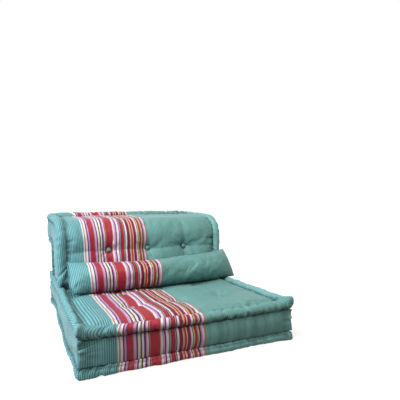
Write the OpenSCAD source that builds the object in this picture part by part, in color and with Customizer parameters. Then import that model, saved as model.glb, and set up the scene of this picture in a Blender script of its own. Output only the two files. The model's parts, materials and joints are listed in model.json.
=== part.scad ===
// Low armless floor chair: a square tufted mattress seat, a tufted back block that stands on
// it and curls over to the rear, and a loose lumbar bolster with a concealed zip.
// X runs across the seat, Y from the front to the rear, Z up. The origin is on the floor,
// in the middle of the chair's outline.

/* [Seat mattress] */
// Width of the seat over its edge rolls
seat_w = 950; // [800:10:1200]
// Depth of the seat over its edge rolls
seat_d = 975; // [900:5:1200]
// Height of the seat's border strips, between the two rows of rolls
border_h = 104.4; // [80:0.1:140]
// Height of the lower edge rolls
low_roll_h = 33; // [24:1:40]
// Height of the upper edge rolls at the middle of a side
top_roll_h = 52; // [40:1:60]
// Width of an edge roll, seen from above
roll_w = 44; // [36:1:54]
// How far the sides draw in between the corners
draw_in = 8; // [4:0.5:14]
// How far the corners of the upper rolls stand up as ears
ear_lift = 2; // [1:0.5:6]

/* [Tufting] */
// Distance between the tufts, both ways
tuft_pitch = 222; // [180:1:260]
// How far the middle column of tufts lies to the right of the centre
tuft_shift = 14; // [0:1:30]
// Distance of the first row of tufts from the seat's front
tuft_front = 232; // [180:1:260]
// Width of the pit round a tuft
tuft_spread = 46; // [30:1:70]
// Depth of the pit of a tuft, below the crown
tuft_depth = 16; // [8:1:24]
// Depth of the crease that joins a row of tufts
crease_depth = 6; // [2:0.5:10]
// Diameter of a covered button
button_d = 25; // [18:0.5:32]
// Height of a covered button
button_h = 7; // [5:0.5:10]
// Diameter of the tufting twine
twine_d = 3; // [2:0.1:4]

/* [Back] */
// Distance of the back's face rolls from the seat's rear, at the foot
back_from_rear = 355; // [315:5:395]
// Lean of the back's face from upright, in degrees
back_lean = 4; // [0:0.5:10]
// Length of the straight part of the back's face
face_len = 208; // [150:1:260]
// Radius of the bend from the face into the top, along the middle of the roll
head_r = 93; // [70:1:120]
// Length of the top, from the bend to its rear roll
top_len = 280; // [220:1:340]
// Rise of the top towards the rear, in degrees
top_rise = 1.5; // [0:0.1:4]
// Depth of the stem, from the face rolls to the rear rolls
stem_d = 264; // [220:1:300]
// Height of the stem's rear, from its foot roll to the underside of the head
stem_h = 170; // [150:1:180]
// How far the rear wall of the head leans out below its top
head_out = 20; // [0:1:40]
// Thickness of the edge rolls on the back's rear panel
rear_roll_w = 36; // [28:1:44]
// Rise of the back's face above the middle of its side rolls
face_crown = 25; // [12:1:28]

/* [Bolster] */
// How much shorter the bolster is than the seat is wide
bolster_short = 45; // [10:5:250]
// Height of the bolster from seam to seam
bolster_h = 184; // [160:2:230]
// Fullness of the bolster's front, from the seam plane
bolster_front = 68; // [45:1:80]
// Fullness of the bolster's rear, from the seam plane
bolster_rear = 44; // [36:1:60]
// Tilt of the bolster from lying flat, in degrees
bolster_tilt = 49; // [44:1:56]
// How far the bolster lies to the right of the centre
bolster_shift = 21; // [0:1:22]
// How far the bolster's right end lies higher than level, in degrees
bolster_skew = 0.7; // [0:0.1:1.2]
// How far the bolster's upper edge sinks between its pointed corners
bolster_draw = 15; // [4:0.5:18]
// Length of the zip
zip_l = 600; // [400:10:640]
// Width of the zip's tape
zip_w = 26; // [22:1:30]

/* [Cloth and fit] */
// Thickness of a border strip with its wadding
border_t = 16; // [12:1:22]
// How far the border strips are set back from the face of the rolls
border_in = 12; // [8:1:16]
// How far the border strips bulge
border_bulge = 5; // [2:0.5:8]
// Thickness of the bolster's cover with its quilting
cover_t = 2.4; // [1.5:0.1:4]
// Room between soft parts that touch
clear = 0.3; // [0.2:0.05:0.5]

/* [Hidden] */
$fn = 48;

teal = [0.42, 0.66, 0.68];
teal_dark = [0.30, 0.50, 0.50];
stripe_red = [0.66, 0.24, 0.30];
foam_cream = [0.93, 0.88, 0.72];
wadding = [0.95, 0.95, 0.93];
twine_tan = [0.80, 0.72, 0.56];
zip_teal = [0.25, 0.45, 0.46];

// Levels of the seat
low_roll_top = low_roll_h;
border_z = low_roll_top + clear;
border_top = border_z + border_h;
roll_z = border_top + clear;
seat_crest = roll_z + top_roll_h;
panel_edge_z = roll_z + 0.27*top_roll_h;
seat_rest_z = roll_z + 0.74*top_roll_h;
panel_crown_rear = seat_rest_z - panel_edge_z + 2;
panel_crown_front = panel_crown_rear - 3;
foam_split = border_z + border_h/2;
foam_half_w = seat_w/2 - border_in - border_t - clear;
foam_half_d = seat_d/2 - border_in - border_t - clear;
panel_half_w = seat_w/2 - roll_w - clear;
panel_half_d = seat_d/2 - roll_w - clear;
seat_mid_y = seat_d/2;
tuft_x = [for (i = [-1:1]) tuft_shift + i*tuft_pitch];
tuft_y = [for (i = [0:2]) tuft_front + i*tuft_pitch];

// Button seats and bores
bore_d = twine_d + 1;
seat_hole_d = button_d + 1.6;
top_button_z = panel_edge_z + 6;
pocket_d = button_d + 8;
pocket_h = button_h + 4;

// The back's face line, in Y and Z: straight up, round the bend and back along the top
back_y = seat_d - back_from_rear;
face_half = roll_w/2;
foot_z = seat_crest + ear_lift + clear + face_half;
rest_y = back_y - 120;
bend_sweep = 90 - back_lean - top_rise;
bend_len = head_r*bend_sweep*PI/180;
face_total = face_len + bend_len + top_len;
bend_start = [back_y + face_len*sin(back_lean), foot_z + face_len*cos(back_lean)];
bend_mid = bend_start + head_r*[cos(back_lean), -sin(back_lean)];
top_start = bend_mid + head_r*[-sin(top_rise), cos(top_rise)];
face_in = -face_half;
face_edge = -4;
top_crown = 14;

// The line of the back's rear panel: up the stem, then out under the head
rear_half = rear_roll_w/2;
rear_out = 8;
rear_foot = [back_y + stem_d, foot_z - face_half + rear_half];
under_z = rear_foot[1] + stem_h;
head_rear_y = (top_start + top_len*[cos(top_rise), sin(top_rise)])[0] + head_out;
notch_r = 22;
under_len = head_rear_y - rear_foot[0] - notch_r;
stem_len = under_z - rear_foot[1] - notch_r;
notch_len = notch_r*PI/2;
rear_total = stem_len + notch_len + under_len;
back_half_w = seat_w/2;
side_foam_half = back_half_w - border_in - border_t - clear;
back_tuft_z = under_z - rear_out - button_d/2 - 2.5;
back_tuft_s = (back_tuft_z - foot_z)/cos(back_lean);
rear_button_y = rear_foot[0] + rear_out - 3;
overall_d = head_rear_y + rear_half;

// The bolster's own frame: X along it, V up its height and N out of its front
bolster_seam_in = 8;
bolster_a = (seat_w - bolster_short)/2;
bolster_b = bolster_h/2;
bolster_low = 7.8;
corner_rise = 6;
bolster_z = seat_rest_z + clear + bolster_b*sin(bolster_tilt) + bolster_low;
lean_s = (bolster_z + bolster_b*sin(bolster_tilt) - foot_z)/cos(back_lean);
lean_face_y = back_y + lean_s*sin(back_lean) - max(face_crown, face_half)*cos(back_lean);
bolster_y = lean_face_y - bolster_b*cos(bolster_tilt) - clear;
zip_n = bolster_rear + clear;
zip_t = 1.2;
chain_w = 6;
chain_t = 2.4;
slider_l = 22;
slider_w = 12;
slider_t = 3.2;
stop_l = 4;

// Smooth step from 0 to 1 while v goes from a to b
function ramp(v, a, b) = let (t = max(0, min(1, (v - a)/(b - a)))) t*t*(3 - 2*t);
function mix(a, b, t) = a + (b - a)*t;
function bump(d, width) = exp(-d*d/(2*width*width));

// Turns every face round if the faces enclose the solid the wrong way
function six_vol(pts, f) = pts[f[0]]*cross(pts[f[1]], pts[f[2]]);
function total(v, i = 0) = i < len(v) ? v[i] + total(v, i + 1) : 0;
function enclosed(pts, faces, i = 0, acc = 0) =
    i < len(faces) ? enclosed(pts, faces, i + 1, acc + six_vol(pts, faces[i])) : acc;
function outward(pts, faces) =
    enclosed(pts, faces) > 0 ? [for (f = faces) [f[2], f[1], f[0]]] : faces;
module solid(pts, faces) {
    polyhedron(pts, outward(pts, faces), convexity = 8);
}

// A tube through a list of rings, closed by flat ends
module tube(rings) {
    n = len(rings);
    m = len(rings[0]);
    pts = [for (r = rings) for (p = r) p];
    walls = [for (i = [0:n - 2]) for (j = [0:m - 1])
        let (k = (j + 1) % m, a = i*m + j, b = i*m + k, c = (i + 1)*m + k, d = (i + 1)*m + j)
        each [[a, b, c], [a, c, d]]];
    first = [for (j = [1:m - 2]) [0, j + 1, j]];
    last = [for (j = [1:m - 2]) [(n - 1)*m, (n - 1)*m + j, (n - 1)*m + j + 1]];
    solid(pts, concat(walls, first, last));
}

// A padded panel: a grid of points outside, and inside a surface that runs straight across
module panel(grid, left, right) {
    n = len(grid);
    m = len(grid[0]);
    la = n*m;
    ra = la + n;
    pts = concat([for (row = grid) for (p = row) p], left, right);
    outer = [for (i = [0:n - 2]) for (j = [0:m - 2])
        let (a = i*m + j, b = a + 1, c = b + m, d = a + m) each [[a, b, c], [a, c, d]]];
    inner = [for (i = [0:n - 2])
        each [[la + i, la + i + 1, ra + i + 1], [la + i, ra + i + 1, ra + i]]];
    left_wall = [for (i = [0:n - 2])
        let (a = i*m, d = a + m) each [[la + i, a, d], [la + i, d, la + i + 1]]];
    right_wall = [for (i = [0:n - 2])
        let (a = i*m + m - 1, d = a + m) each [[ra + i, d, a], [ra + i, ra + i + 1, d]]];
    near = concat([for (j = [0:m - 2]) [la, j + 1, j]], [[la, ra, m - 1]]);
    q = (n - 1)*m;
    far = concat([for (j = [0:m - 2]) [la + n - 1, q + j, q + j + 1]],
                 [[la + n - 1, q + m - 1, ra + n - 1]]);
    solid(pts, concat(outer, inner, left_wall, right_wall, near, far));
}

// A shell between two grids of the same size, closed along their rims
module shell(outer, inner) {
    n = len(outer);
    m = len(outer[0]);
    q = n*m;
    pts = concat([for (row = outer) for (p = row) p], [for (row = inner) for (p = row) p]);
    rim = concat([for (j = [0:m - 1]) j], [for (i = [1:n - 1]) i*m + m - 1],
                 [for (j = [1:m - 1]) (n - 1)*m + m - 1 - j], [for (i = [1:n - 2]) (n - 1 - i)*m]);
    w = len(rim);
    skin = [for (i = [0:n - 2]) for (j = [0:m - 2])
        let (a = i*m + j, b = a + 1, c = b + m, d = a + m) each [[a, b, c], [a, c, d]]];
    lining = [for (f = skin) [f[0] + q, f[2] + q, f[1] + q]];
    edge = [for (i = [0:w - 1])
        let (a = rim[i], b = rim[(i + 1) % w]) each [[a, a + q, b + q], [a, b + q, b]]];
    solid(pts, concat(skin, lining, edge));
}

// Puts a piece that is measured from the seat's front into the chair's frame
module place() {
    translate([0, -overall_d/2, 0]) children();
}

// An eight-sided roll section with flats at its top and bottom: [inset from the outer side, rise]
roll_sides = 8;
function section(half_w, half_h) = [for (j = [0:roll_sides - 1])
    let (a = 22.5 + 45*j)
    [half_w*(1 - cos(a)/cos(22.5)), half_h*sin(a)/cos(22.5)]];

// A roll along one side of the seat, mitred at both corners and drawn in between them
roll_steps = 8;
module side_roll(length, half_across, mid_z, half_h, lift) {
    rings = [for (i = [0:roll_steps])
        let (t = -1 + 2*i/roll_steps, bow = draw_in*(1 - t*t), up = lift*pow(t, 8))
        [for (p = section(roll_w/2, half_h))
            [t*(length/2 - p[0]), -half_across + p[0] + bow, mid_z + p[1] + up]]];
    translate([0, seat_mid_y, 0]) tube(rings);
}

module seat_roll(side, mid_z, half_h, lift) {
    long = side == "front" || side == "rear";
    turn = side == "front" ? 0 : side == "right" ? 90 : side == "rear" ? 180 : 270;
    place() translate([0, seat_mid_y, 0]) rotate([0, 0, turn]) translate([0, -seat_mid_y, 0])
        side_roll(long ? seat_w : seat_d, long ? seat_d/2 : seat_w/2, mid_z, half_h, lift);
}
module seat_top_roll(side) {
    color(teal) seat_roll(side, roll_z + top_roll_h/2, top_roll_h/2, ear_lift);
}
module seat_low_roll(side) {
    color(teal) seat_roll(side, low_roll_h/2, low_roll_h/2, 0);
}

// Height of the seat's top panel: crowned, pitted at the tufts, creased between them,
// and flat where the bolster and the back stand on it
function seat_top(x, y) =
    let (dx = seat_w/2 - roll_w - abs(x), dy = seat_d/2 - roll_w - abs(y - seat_mid_y),
         full = sin(90*min(1, max(0, dx)/130))*sin(90*min(1, max(0, dy)/130)),
         crown = mix(panel_crown_front, panel_crown_rear, ramp(y, rest_y - 80, rest_y)),
         pits = total([for (tx = tuft_x) for (ty = tuft_y)
             bump(norm([x - tx, y - ty]), tuft_spread)]),
         rows = total([for (ty = tuft_y) bump(y - ty, 16)]),
         columns = total([for (tx = tuft_x) bump(x - tx, 16)]))
    min(seat_rest_z, panel_edge_z + crown*pow(full, 0.7) - tuft_depth*pits*full
        - crease_depth*max(rows, 0.6*columns)*full);

panel_cells = 24;
module seat_top_panel() {
    grid = [for (i = [0:panel_cells])
        let (t = -1 + 2*i/panel_cells)
        [for (j = [0:panel_cells])
            let (u = -1 + 2*j/panel_cells,
                 x = u*(panel_half_w - draw_in*(1 - t*t)),
                 y = seat_mid_y + t*(panel_half_d - draw_in))
            [x, y, seat_top(x, y)]]];
    left = [for (row = grid) [row[0][0], row[0][1], roll_z]];
    right = [for (p = left) [-p[0], p[1], p[2]]];
    color(stripe_red) place() difference() {
        panel(grid, left, right);
        for (x = tuft_x) for (y = tuft_y) translate([x, y, 0]) {
            translate([0, 0, roll_z - 1]) cylinder(d = bore_d, h = 60);
            translate([0, 0, top_button_z]) cylinder(d = seat_hole_d, h = 60);
        }
    }
}

module seat_bottom_panel() {
    half_w = seat_w/2 - roll_w - draw_in - clear;
    half_d = seat_d/2 - roll_w - draw_in - clear;
    color(teal_dark) place() difference() {
        translate([-half_w, seat_mid_y - half_d, 0]) cube([2*half_w, 2*half_d, low_roll_top]);
        for (x = tuft_x) for (y = tuft_y) translate([x, y, 0]) {
            translate([0, 0, -1]) cylinder(d = pocket_d, h = pocket_h + 1);
            cylinder(d = bore_d, h = low_roll_top + 1);
        }
    }
}

module foam_slab(z0, z1) {
    color(foam_cream) place() difference() {
        translate([-foam_half_w, seat_mid_y - foam_half_d, z0])
            cube([2*foam_half_w, 2*foam_half_d, z1 - z0]);
        for (x = tuft_x) for (y = tuft_y)
            translate([x, y, z0 - 1]) cylinder(d = bore_d, h = z1 - z0 + 2);
    }
}
module seat_base_foam() {
    foam_slab(border_z, foam_split);
}
module seat_comfort_foam() {
    foam_slab(foam_split, border_top);
}

// The section of a bulging border strip, its outer face towards -X
module border_section(h) {
    bulge_r = (h*h/4 + border_bulge*border_bulge)/(2*border_bulge);
    square([border_t, h]);
    intersection() {
        translate([bulge_r - border_bulge, h/2]) circle(r = bulge_r, $fn = 180);
        translate([-border_bulge, 0]) square([border_bulge + border_t/2, h]);
    }
}
module border_strip(length, half_across) {
    out = half_across - border_in;
    half = length/2 - border_in;
    intersection() {
        translate([-length/2, seat_mid_y - out, border_z]) rotate([90, 0, 90])
            linear_extrude(length) border_section(border_h);
        translate([0, seat_mid_y, border_z - 1]) linear_extrude(border_h + 2)
            polygon([[-half - border_bulge, -out - border_bulge],
                     [half + border_bulge, -out - border_bulge], [half - border_t, -out + border_t], [-half + border_t, -out + border_t]]);
    }
}
module seat_border(side) {
    long = side == "front" || side == "rear";
    turn = side == "front" ? 0 : side == "right" ? 90 : side == "rear" ? 180 : 270;
    color(long ? stripe_red : teal) place()
        translate([0, seat_mid_y, 0]) rotate([0, 0, turn]) translate([0, -seat_mid_y, 0])
            border_strip(long ? seat_w : seat_d, long ? seat_d/2 : seat_w/2);
}

// A covered button, its flat back at z = 0
module button() {
    rim = 2.4;
    cap_h = button_h - rim;
    cap_r = (button_d*button_d/4 + cap_h*cap_h)/(2*cap_h);
    cylinder(d = button_d, h = rim);
    intersection() {
        translate([0, 0, button_h - cap_r]) sphere(r = cap_r);
        translate([0, 0, rim]) cylinder(d = button_d, h = cap_h + 1);
    }
}
module seat_top_buttons() {
    color(teal) place() for (x = tuft_x) for (y = tuft_y)
        translate([x, y, top_button_z]) button();
}
module seat_bottom_buttons() {
    color(teal_dark) place() for (x = tuft_x) for (y = tuft_y)
        translate([x, y, pocket_h]) mirror([0, 0, 1]) button();
}
module seat_twines() {
    color(twine_tan) place() for (x = tuft_x) for (y = tuft_y)
        translate([x, y, pocket_h]) cylinder(d = twine_d, h = top_button_z - pocket_h);
}

// A point at distance s along the back's face line, at height off above it
function face_at(s, off) =
    s < face_len ? [back_y, foot_z] + s*[sin(back_lean), cos(back_lean)]
        + off*[-cos(back_lean), sin(back_lean)]
    : s < face_len + bend_len ? let (a = back_lean + (s - face_len)/head_r*180/PI)
        bend_mid + (head_r + off)*[-cos(a), sin(a)]
    : top_start + (s - face_len - bend_len)*[cos(top_rise), sin(top_rise)]
        + off*[-sin(top_rise), cos(top_rise)];

// The same for the line of the rear panel, whose outside is the chair's rear
function rear_at(s, off) =
    s < stem_len ? rear_foot + [off, s]
    : s < stem_len + notch_len ? let (a = (s - stem_len)/notch_r*180/PI)
        rear_foot + [notch_r, stem_len] + (notch_r - off)*[-cos(a), sin(a)]
    : [rear_foot[0] + notch_r + s - stem_len - notch_len, under_z - off];

face_stops = concat([for (i = [0:3]) i/4*face_len], [for (i = [0:6]) face_len + i/6*bend_len],
                    [for (i = [1:4]) face_len + bend_len + i/4*top_len]);
rear_stops = concat([for (i = [0:2]) i/3*stem_len], [for (i = [0:3]) stem_len + i/3*notch_len],
                    [for (i = [1:3]) stem_len + notch_len + i/3*under_len]);

// A roll that follows one side edge of the back, mitred at its two ends
function stretch(s, whole, half, d) = -half + d + s/whole*(whole + 2*half - 2*d);
module edge_roll(right, whole, stops, half) {
    rings = [for (s = stops)
        [for (p = section(half, half))
            let (at = right[0] == "face" ? face_at(stretch(s, whole, half, p[0]), p[1])
                                         : rear_at(stretch(s, whole, half, p[0]), p[1]))
            [right[1]*(back_half_w - p[0]), at[0], at[1]]]];
    tube(rings);
}
module back_face_roll_side(dir) {
    color(teal) place() edge_roll(["face", dir], face_total, face_stops, roll_w/2);
}
module back_rear_roll_side(dir) {
    color(teal) place() edge_roll(["rear", dir], rear_total, rear_stops, rear_half);
}

// A roll across the back, mitred to the side rolls
cross_steps = 6;
module cross_roll(kind, at_end, whole, half) {
    rings = [for (i = [0:cross_steps])
        let (t = -1 + 2*i/cross_steps)
        [for (p = section(half, half))
            let (s = at_end ? whole + half - p[0] : -half + p[0],
                 at = kind == "face" ? face_at(s, p[1]) : rear_at(s, p[1]))
            [t*(back_half_w - p[0]), at[0], at[1]]]];
    color(teal) place() tube(rings);
}

// Rise of the back's face panel above the middle of its side rolls
function face_rise(x, s) =
    let (dx = back_half_w - roll_w - abs(x), ds = min(s, face_total - s) - roll_w/2,
         full = sin(90*min(1, max(0, dx)/110))*sin(90*min(1, max(0, ds)/90)),
         pits = total([for (tx = tuft_x) bump(norm([x - tx, s - back_tuft_s]), tuft_spread)]),
         row = bump(s - back_tuft_s, 15),
         columns = total([for (tx = tuft_x) bump(x - tx, 15)])*ramp(s, 20, back_tuft_s))
    face_edge + (mix(face_crown, top_crown, ramp(s, face_len, face_len + bend_len)) - face_edge)
        *pow(full, 0.6) - tuft_depth*pits*full
        - crease_depth*max(row, 0.5*columns)*full;

module lay_face(x, s, off) {
    at = face_at(s, off);
    translate([x, at[0], at[1]]) rotate([90 - back_lean, 0, 0]) children();
}
button_off = -2;
module back_face_panel() {
    first = roll_w/2 + clear;
    last = face_total - roll_w/2 - clear;
    stops = concat([for (i = [0:8]) mix(first, face_len, i/8)],
                   [for (i = [1:6]) face_len + i/6*bend_len],
                   [for (i = [1:6]) mix(face_len + bend_len, last, i/6)]);
    grid = [for (s = stops) [for (j = [0:panel_cells])
        let (x = (-1 + 2*j/panel_cells)*(back_half_w - roll_w - clear),
             at = face_at(s, face_rise(x, s)))
        [x, at[0], at[1]]]];
    left = [for (s = stops) let (at = face_at(s, face_in)) [grid[0][0][0], at[0], at[1]]];
    right = [for (s = stops) let (at = face_at(s, face_in)) [grid[0][panel_cells][0], at[0], at[1]]];
    color(stripe_red) place() difference() {
        panel(grid, left, right);
        for (x = tuft_x) {
            lay_face(x, back_tuft_s, button_off) cylinder(d = seat_hole_d, h = 60);
            translate([x, 0, back_tuft_z]) rotate([-90, 0, 0]) cylinder(d = bore_d, h = overall_d);
        }
    }
}

// Outline of the back's filling in Y and Z, inside its panels and borders
foam_gap = face_half + clear;
hem = 2;
module back_outline() {
    face_side = [for (s = concat([hem - face_half], face_stops)) face_at(s, -foam_gap)];
    notch_stops = [for (i = [0:10]) stem_len + i/10*notch_len];
    rear_side = [for (s = concat([hem - rear_half], notch_stops, [rear_total]))
        rear_at(s, -rear_half - clear)];
    polygon(concat(face_side, [for (i = [len(rear_side) - 1:-1:0]) rear_side[i]]));
}
module back_slice(half_w, z0, z1) {
    rotate([90, 0, 90]) translate([0, 0, -half_w]) linear_extrude(2*half_w) intersection() {
        back_outline();
        translate([0, z0]) square([head_rear_y - border_t, z1 - z0]);
    }
}
module back_bores() {
    for (x = tuft_x) translate([x, 0, back_tuft_z]) rotate([-90, 0, 0])
        cylinder(d = bore_d, h = overall_d);
}
foot_top = foot_z + 10;
head_split = under_z - rear_half - clear;
module back_stem_foam() {
    color(foam_cream) place() difference() {
        back_slice(side_foam_half, foot_top + clear, head_split);
        back_bores();
    }
}
module back_head_foam() {
    color(foam_cream) place() back_slice(side_foam_half, head_split, foot_z + 1000);
}

module back_rear_panel() {
    inner = -rear_half;
    half_w = back_half_w - rear_roll_w - clear;
    stops = [for (s = rear_stops) max(rear_half + clear, min(rear_total - rear_half - clear, s))];
    shape = concat([for (s = stops) rear_at(s, inner)],
                   [for (i = [len(stops) - 1:-1:0]) rear_at(stops[i], rear_out)]);
    color(teal_dark) place() difference() {
        rotate([90, 0, 90]) translate([0, 0, -half_w]) linear_extrude(2*half_w) polygon(shape);
        back_bores();
        for (x = tuft_x) translate([x, rear_button_y, back_tuft_z]) rotate([-90, 0, 0])
            cylinder(d = seat_hole_d, h = 60);
    }
}

// A side border, in the shape of a comma, bulging about an upright line
module back_border_side(dir) {
    out = back_half_w - border_in;
    bulge_r = 1400;
    span_y = back_y + (head_rear_y - back_y)/2;
    color(teal) place() intersection() {
        rotate([90, 0, 90]) translate([0, 0, dir > 0 ? out - border_t : -out - border_bulge])
            linear_extrude(border_t + border_bulge) intersection() {
                back_outline();
                square([head_rear_y - border_t, 1000]);
            }
        translate([dir*(out + border_bulge - bulge_r), span_y, 0])
            cylinder(r = bulge_r, h = 1000, $fn = 360);
    }
}

// The head's rear wall, and the foot on which the back stands
module back_border_head() {
    steps = 6;
    top_z = face_at(face_total, -foam_gap)[1];
    low_z = under_z + rear_half + clear;
    outer = [for (i = [0:steps]) let (t = i/steps)
        [head_rear_y + border_bulge*(0.5 - t + 4*t*(1 - t)), mix(low_z, top_z, t)]];
    inner_y = head_rear_y - border_t + clear;
    color(teal_dark) place() rotate([90, 0, 90]) translate([0, 0, -back_half_w + border_in])
        linear_extrude(2*(back_half_w - border_in))
            polygon(concat(outer, [[inner_y, top_z], [inner_y, low_z]]));
}
module back_border_foot() {
    y0 = face_at(foot_top - foot_z, -foam_gap)[0] + clear;
    y1 = rear_foot[0] - rear_half - clear;
    low = seat_rest_z + clear;
    half_w = panel_half_w - draw_in - 2;
    color(teal_dark) place() rotate([90, 0, 90]) translate([0, 0, -half_w])
        linear_extrude(2*half_w)
            polygon([[y0, foot_top], [y0, foot_z - face_half + 2], [y0 + 22, low], [y1 - 22, low],
                     [y1, foot_z - face_half + 2], [y1, foot_top]]);
}

module back_face_buttons() {
    color(teal) place() for (x = tuft_x) lay_face(x, back_tuft_s, button_off) button();
}
module back_rear_buttons() {
    color(teal_dark) place() for (x = tuft_x)
        translate([x, rear_button_y, back_tuft_z]) rotate([-90, 0, 0]) button();
}
module back_twines() {
    front = face_at(back_tuft_s, button_off);
    slope = twine_d/2*tan(back_lean);
    color(twine_tan) place() for (x = tuft_x)
        translate([x, front[0] + slope + 0.05, back_tuft_z]) rotate([-90, 0, 0])
            cylinder(d = twine_d, h = rear_button_y - front[0] - slope - 0.05);
}

// The bolster: two faces sewn along a knife edge, with pointed corners
bolster_u = 16;
bolster_v = 8;
function bolster_point(i, j, inset, rise, less) =
    let (u = sin(90*(-1 + 2*i/bolster_u)), v = sin(90*(-1 + 2*j/bolster_v)),
         a = bolster_a - inset, b = bolster_b - inset,
         x = u*(a - 0.8*bolster_draw*(1 - v*v)),
         y = v*(b - (v > 0 ? bolster_draw*(1 - pow(abs(u), 9)) : corner_rise*pow(abs(u), 9))),
         fill = pow(max(0, 1 - pow(abs(u), 8)), 0.55)*pow(max(0, 1 - v*v), 0.62))
    [x, y, (rise > 0 ? 1 : -1)*max(0, (abs(rise) - less)*fill)];
function bolster_grid(inset, rise, less) =
    [for (i = [0:bolster_u]) [for (j = [0:bolster_v]) bolster_point(i, j, inset, rise, less)]];

module lay_bolster() {
    place() translate([bolster_shift, bolster_y, bolster_z]) rotate([0, -bolster_skew, 0])
        rotate([bolster_tilt, 0, 0]) children();
}
module bolster_cover_front() {
    color(stripe_red) lay_bolster()
        shell(bolster_grid(0, bolster_front, 0), bolster_grid(bolster_seam_in, bolster_front, cover_t));
}
module bolster_cover_rear() {
    color(stripe_red) lay_bolster()
        shell(bolster_grid(0, -bolster_rear, 0), bolster_grid(bolster_seam_in, -bolster_rear, cover_t));
}
module bolster_fill() {
    inset = bolster_seam_in + 4;
    lift = 0.4;
    front = [for (row = bolster_grid(inset, bolster_front, cover_t + 1.8))
        [for (p = row) [p[0], p[1], p[2] + lift]]];
    rear = [for (row = bolster_grid(inset, -bolster_rear, cover_t + 1.8))
        [for (p = row) [p[0], p[1], p[2] - lift]]];
    color(wadding) lay_bolster() shell(front, rear);
}
module bolster_zip_tape() {
    color(zip_teal) lay_bolster()
        translate([-zip_l/2, -zip_w/2, -zip_n - zip_t]) cube([zip_l, zip_w, zip_t]);
}
chain_half = zip_l/2 - 12;
module bolster_zip_chain() {
    color(zip_teal) lay_bolster() {
        difference() {
            translate([-chain_half, -chain_w/2, -zip_n - zip_t - chain_t])
                cube([2*chain_half, chain_w, chain_t]);
            translate([-chain_half - 1, -0.4, -zip_n - zip_t - chain_t - 1])
                cube([2*chain_half + 2, 0.8, 1 + chain_t/2]);
        }
        for (end = [-1, 1])
            translate([end*(chain_half + stop_l/2) - stop_l/2, -chain_w/2 - 1,
                       -zip_n - zip_t - chain_t - 0.6])
                cube([stop_l, chain_w + 2, chain_t + 0.6]);
    }
}

// The slider: a body that straddles the chain, with a bridge for a pull tab on top
module bolster_zip_slider() {
    base = -zip_n - zip_t - chain_t - clear;
    start = chain_half - slider_l - clear;
    side = (slider_w - chain_w)/2 - clear;
    color("silver") lay_bolster() translate([start, 0, base]) {
        intersection() {
            translate([0, -slider_w/2, -slider_t + 1.2]) cube([slider_l, slider_w, slider_t - 1.2]);
            translate([0, 0, -10]) linear_extrude(20)
                polygon([[0, -slider_w/2 + 2.5], [slider_l*0.6, -slider_w/2], [slider_l, -slider_w/2 + 3],
                         [slider_l, slider_w/2 - 3], [slider_l*0.6, slider_w/2], [0, slider_w/2 - 2.5]]);
        }
        for (dir = [-1, 1]) translate([3, dir*(slider_w/2 - side/2) - side/2, -slider_t + 1.6])
            cube([slider_l*0.55, side, slider_t - 1.6 + chain_t/2]);
        translate([slider_l*0.25, -1.2, -slider_t - 1.6]) difference() {
            cube([slider_l*0.5, 2.4, 3.2]);
            translate([2, -1, 1.2]) cube([slider_l*0.5 - 4, 5, 1.4]);
        }
    }
}

seat_base_foam();
seat_comfort_foam();
seat_top_panel();
seat_bottom_panel();
seat_border("front");  // seat_border_front
seat_border("rear");  // seat_border_rear
seat_border("left");  // seat_border_left
seat_border("right");  // seat_border_right
seat_top_roll("front");  // seat_top_roll_front
seat_top_roll("rear");  // seat_top_roll_rear
seat_top_roll("left");  // seat_top_roll_left
seat_top_roll("right");  // seat_top_roll_right
seat_low_roll("front");  // seat_low_roll_front
seat_low_roll("rear");  // seat_low_roll_rear
seat_low_roll("left");  // seat_low_roll_left
seat_low_roll("right");  // seat_low_roll_right
seat_top_buttons();
seat_bottom_buttons();
seat_twines();
back_stem_foam();
back_head_foam();
back_face_panel();
back_rear_panel();
back_border_side(-1);  // back_border_left
back_border_side(1);  // back_border_right
back_border_head();
back_border_foot();
back_face_roll_side(-1);  // back_face_roll_left
back_face_roll_side(1);  // back_face_roll_right
cross_roll("face", true, face_total, roll_w/2);  // back_face_roll_top
cross_roll("face", false, face_total, roll_w/2);  // back_face_roll_foot
back_rear_roll_side(-1);  // back_rear_roll_left
back_rear_roll_side(1);  // back_rear_roll_right
cross_roll("rear", true, rear_total, rear_half);  // back_rear_roll_head
cross_roll("rear", false, rear_total, rear_half);  // back_rear_roll_foot
back_face_buttons();
back_rear_buttons();
back_twines();
bolster_cover_front();
bolster_cover_rear();
bolster_fill();
bolster_zip_tape();
bolster_zip_chain();
bolster_zip_slider();
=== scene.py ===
import json
import math

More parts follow.
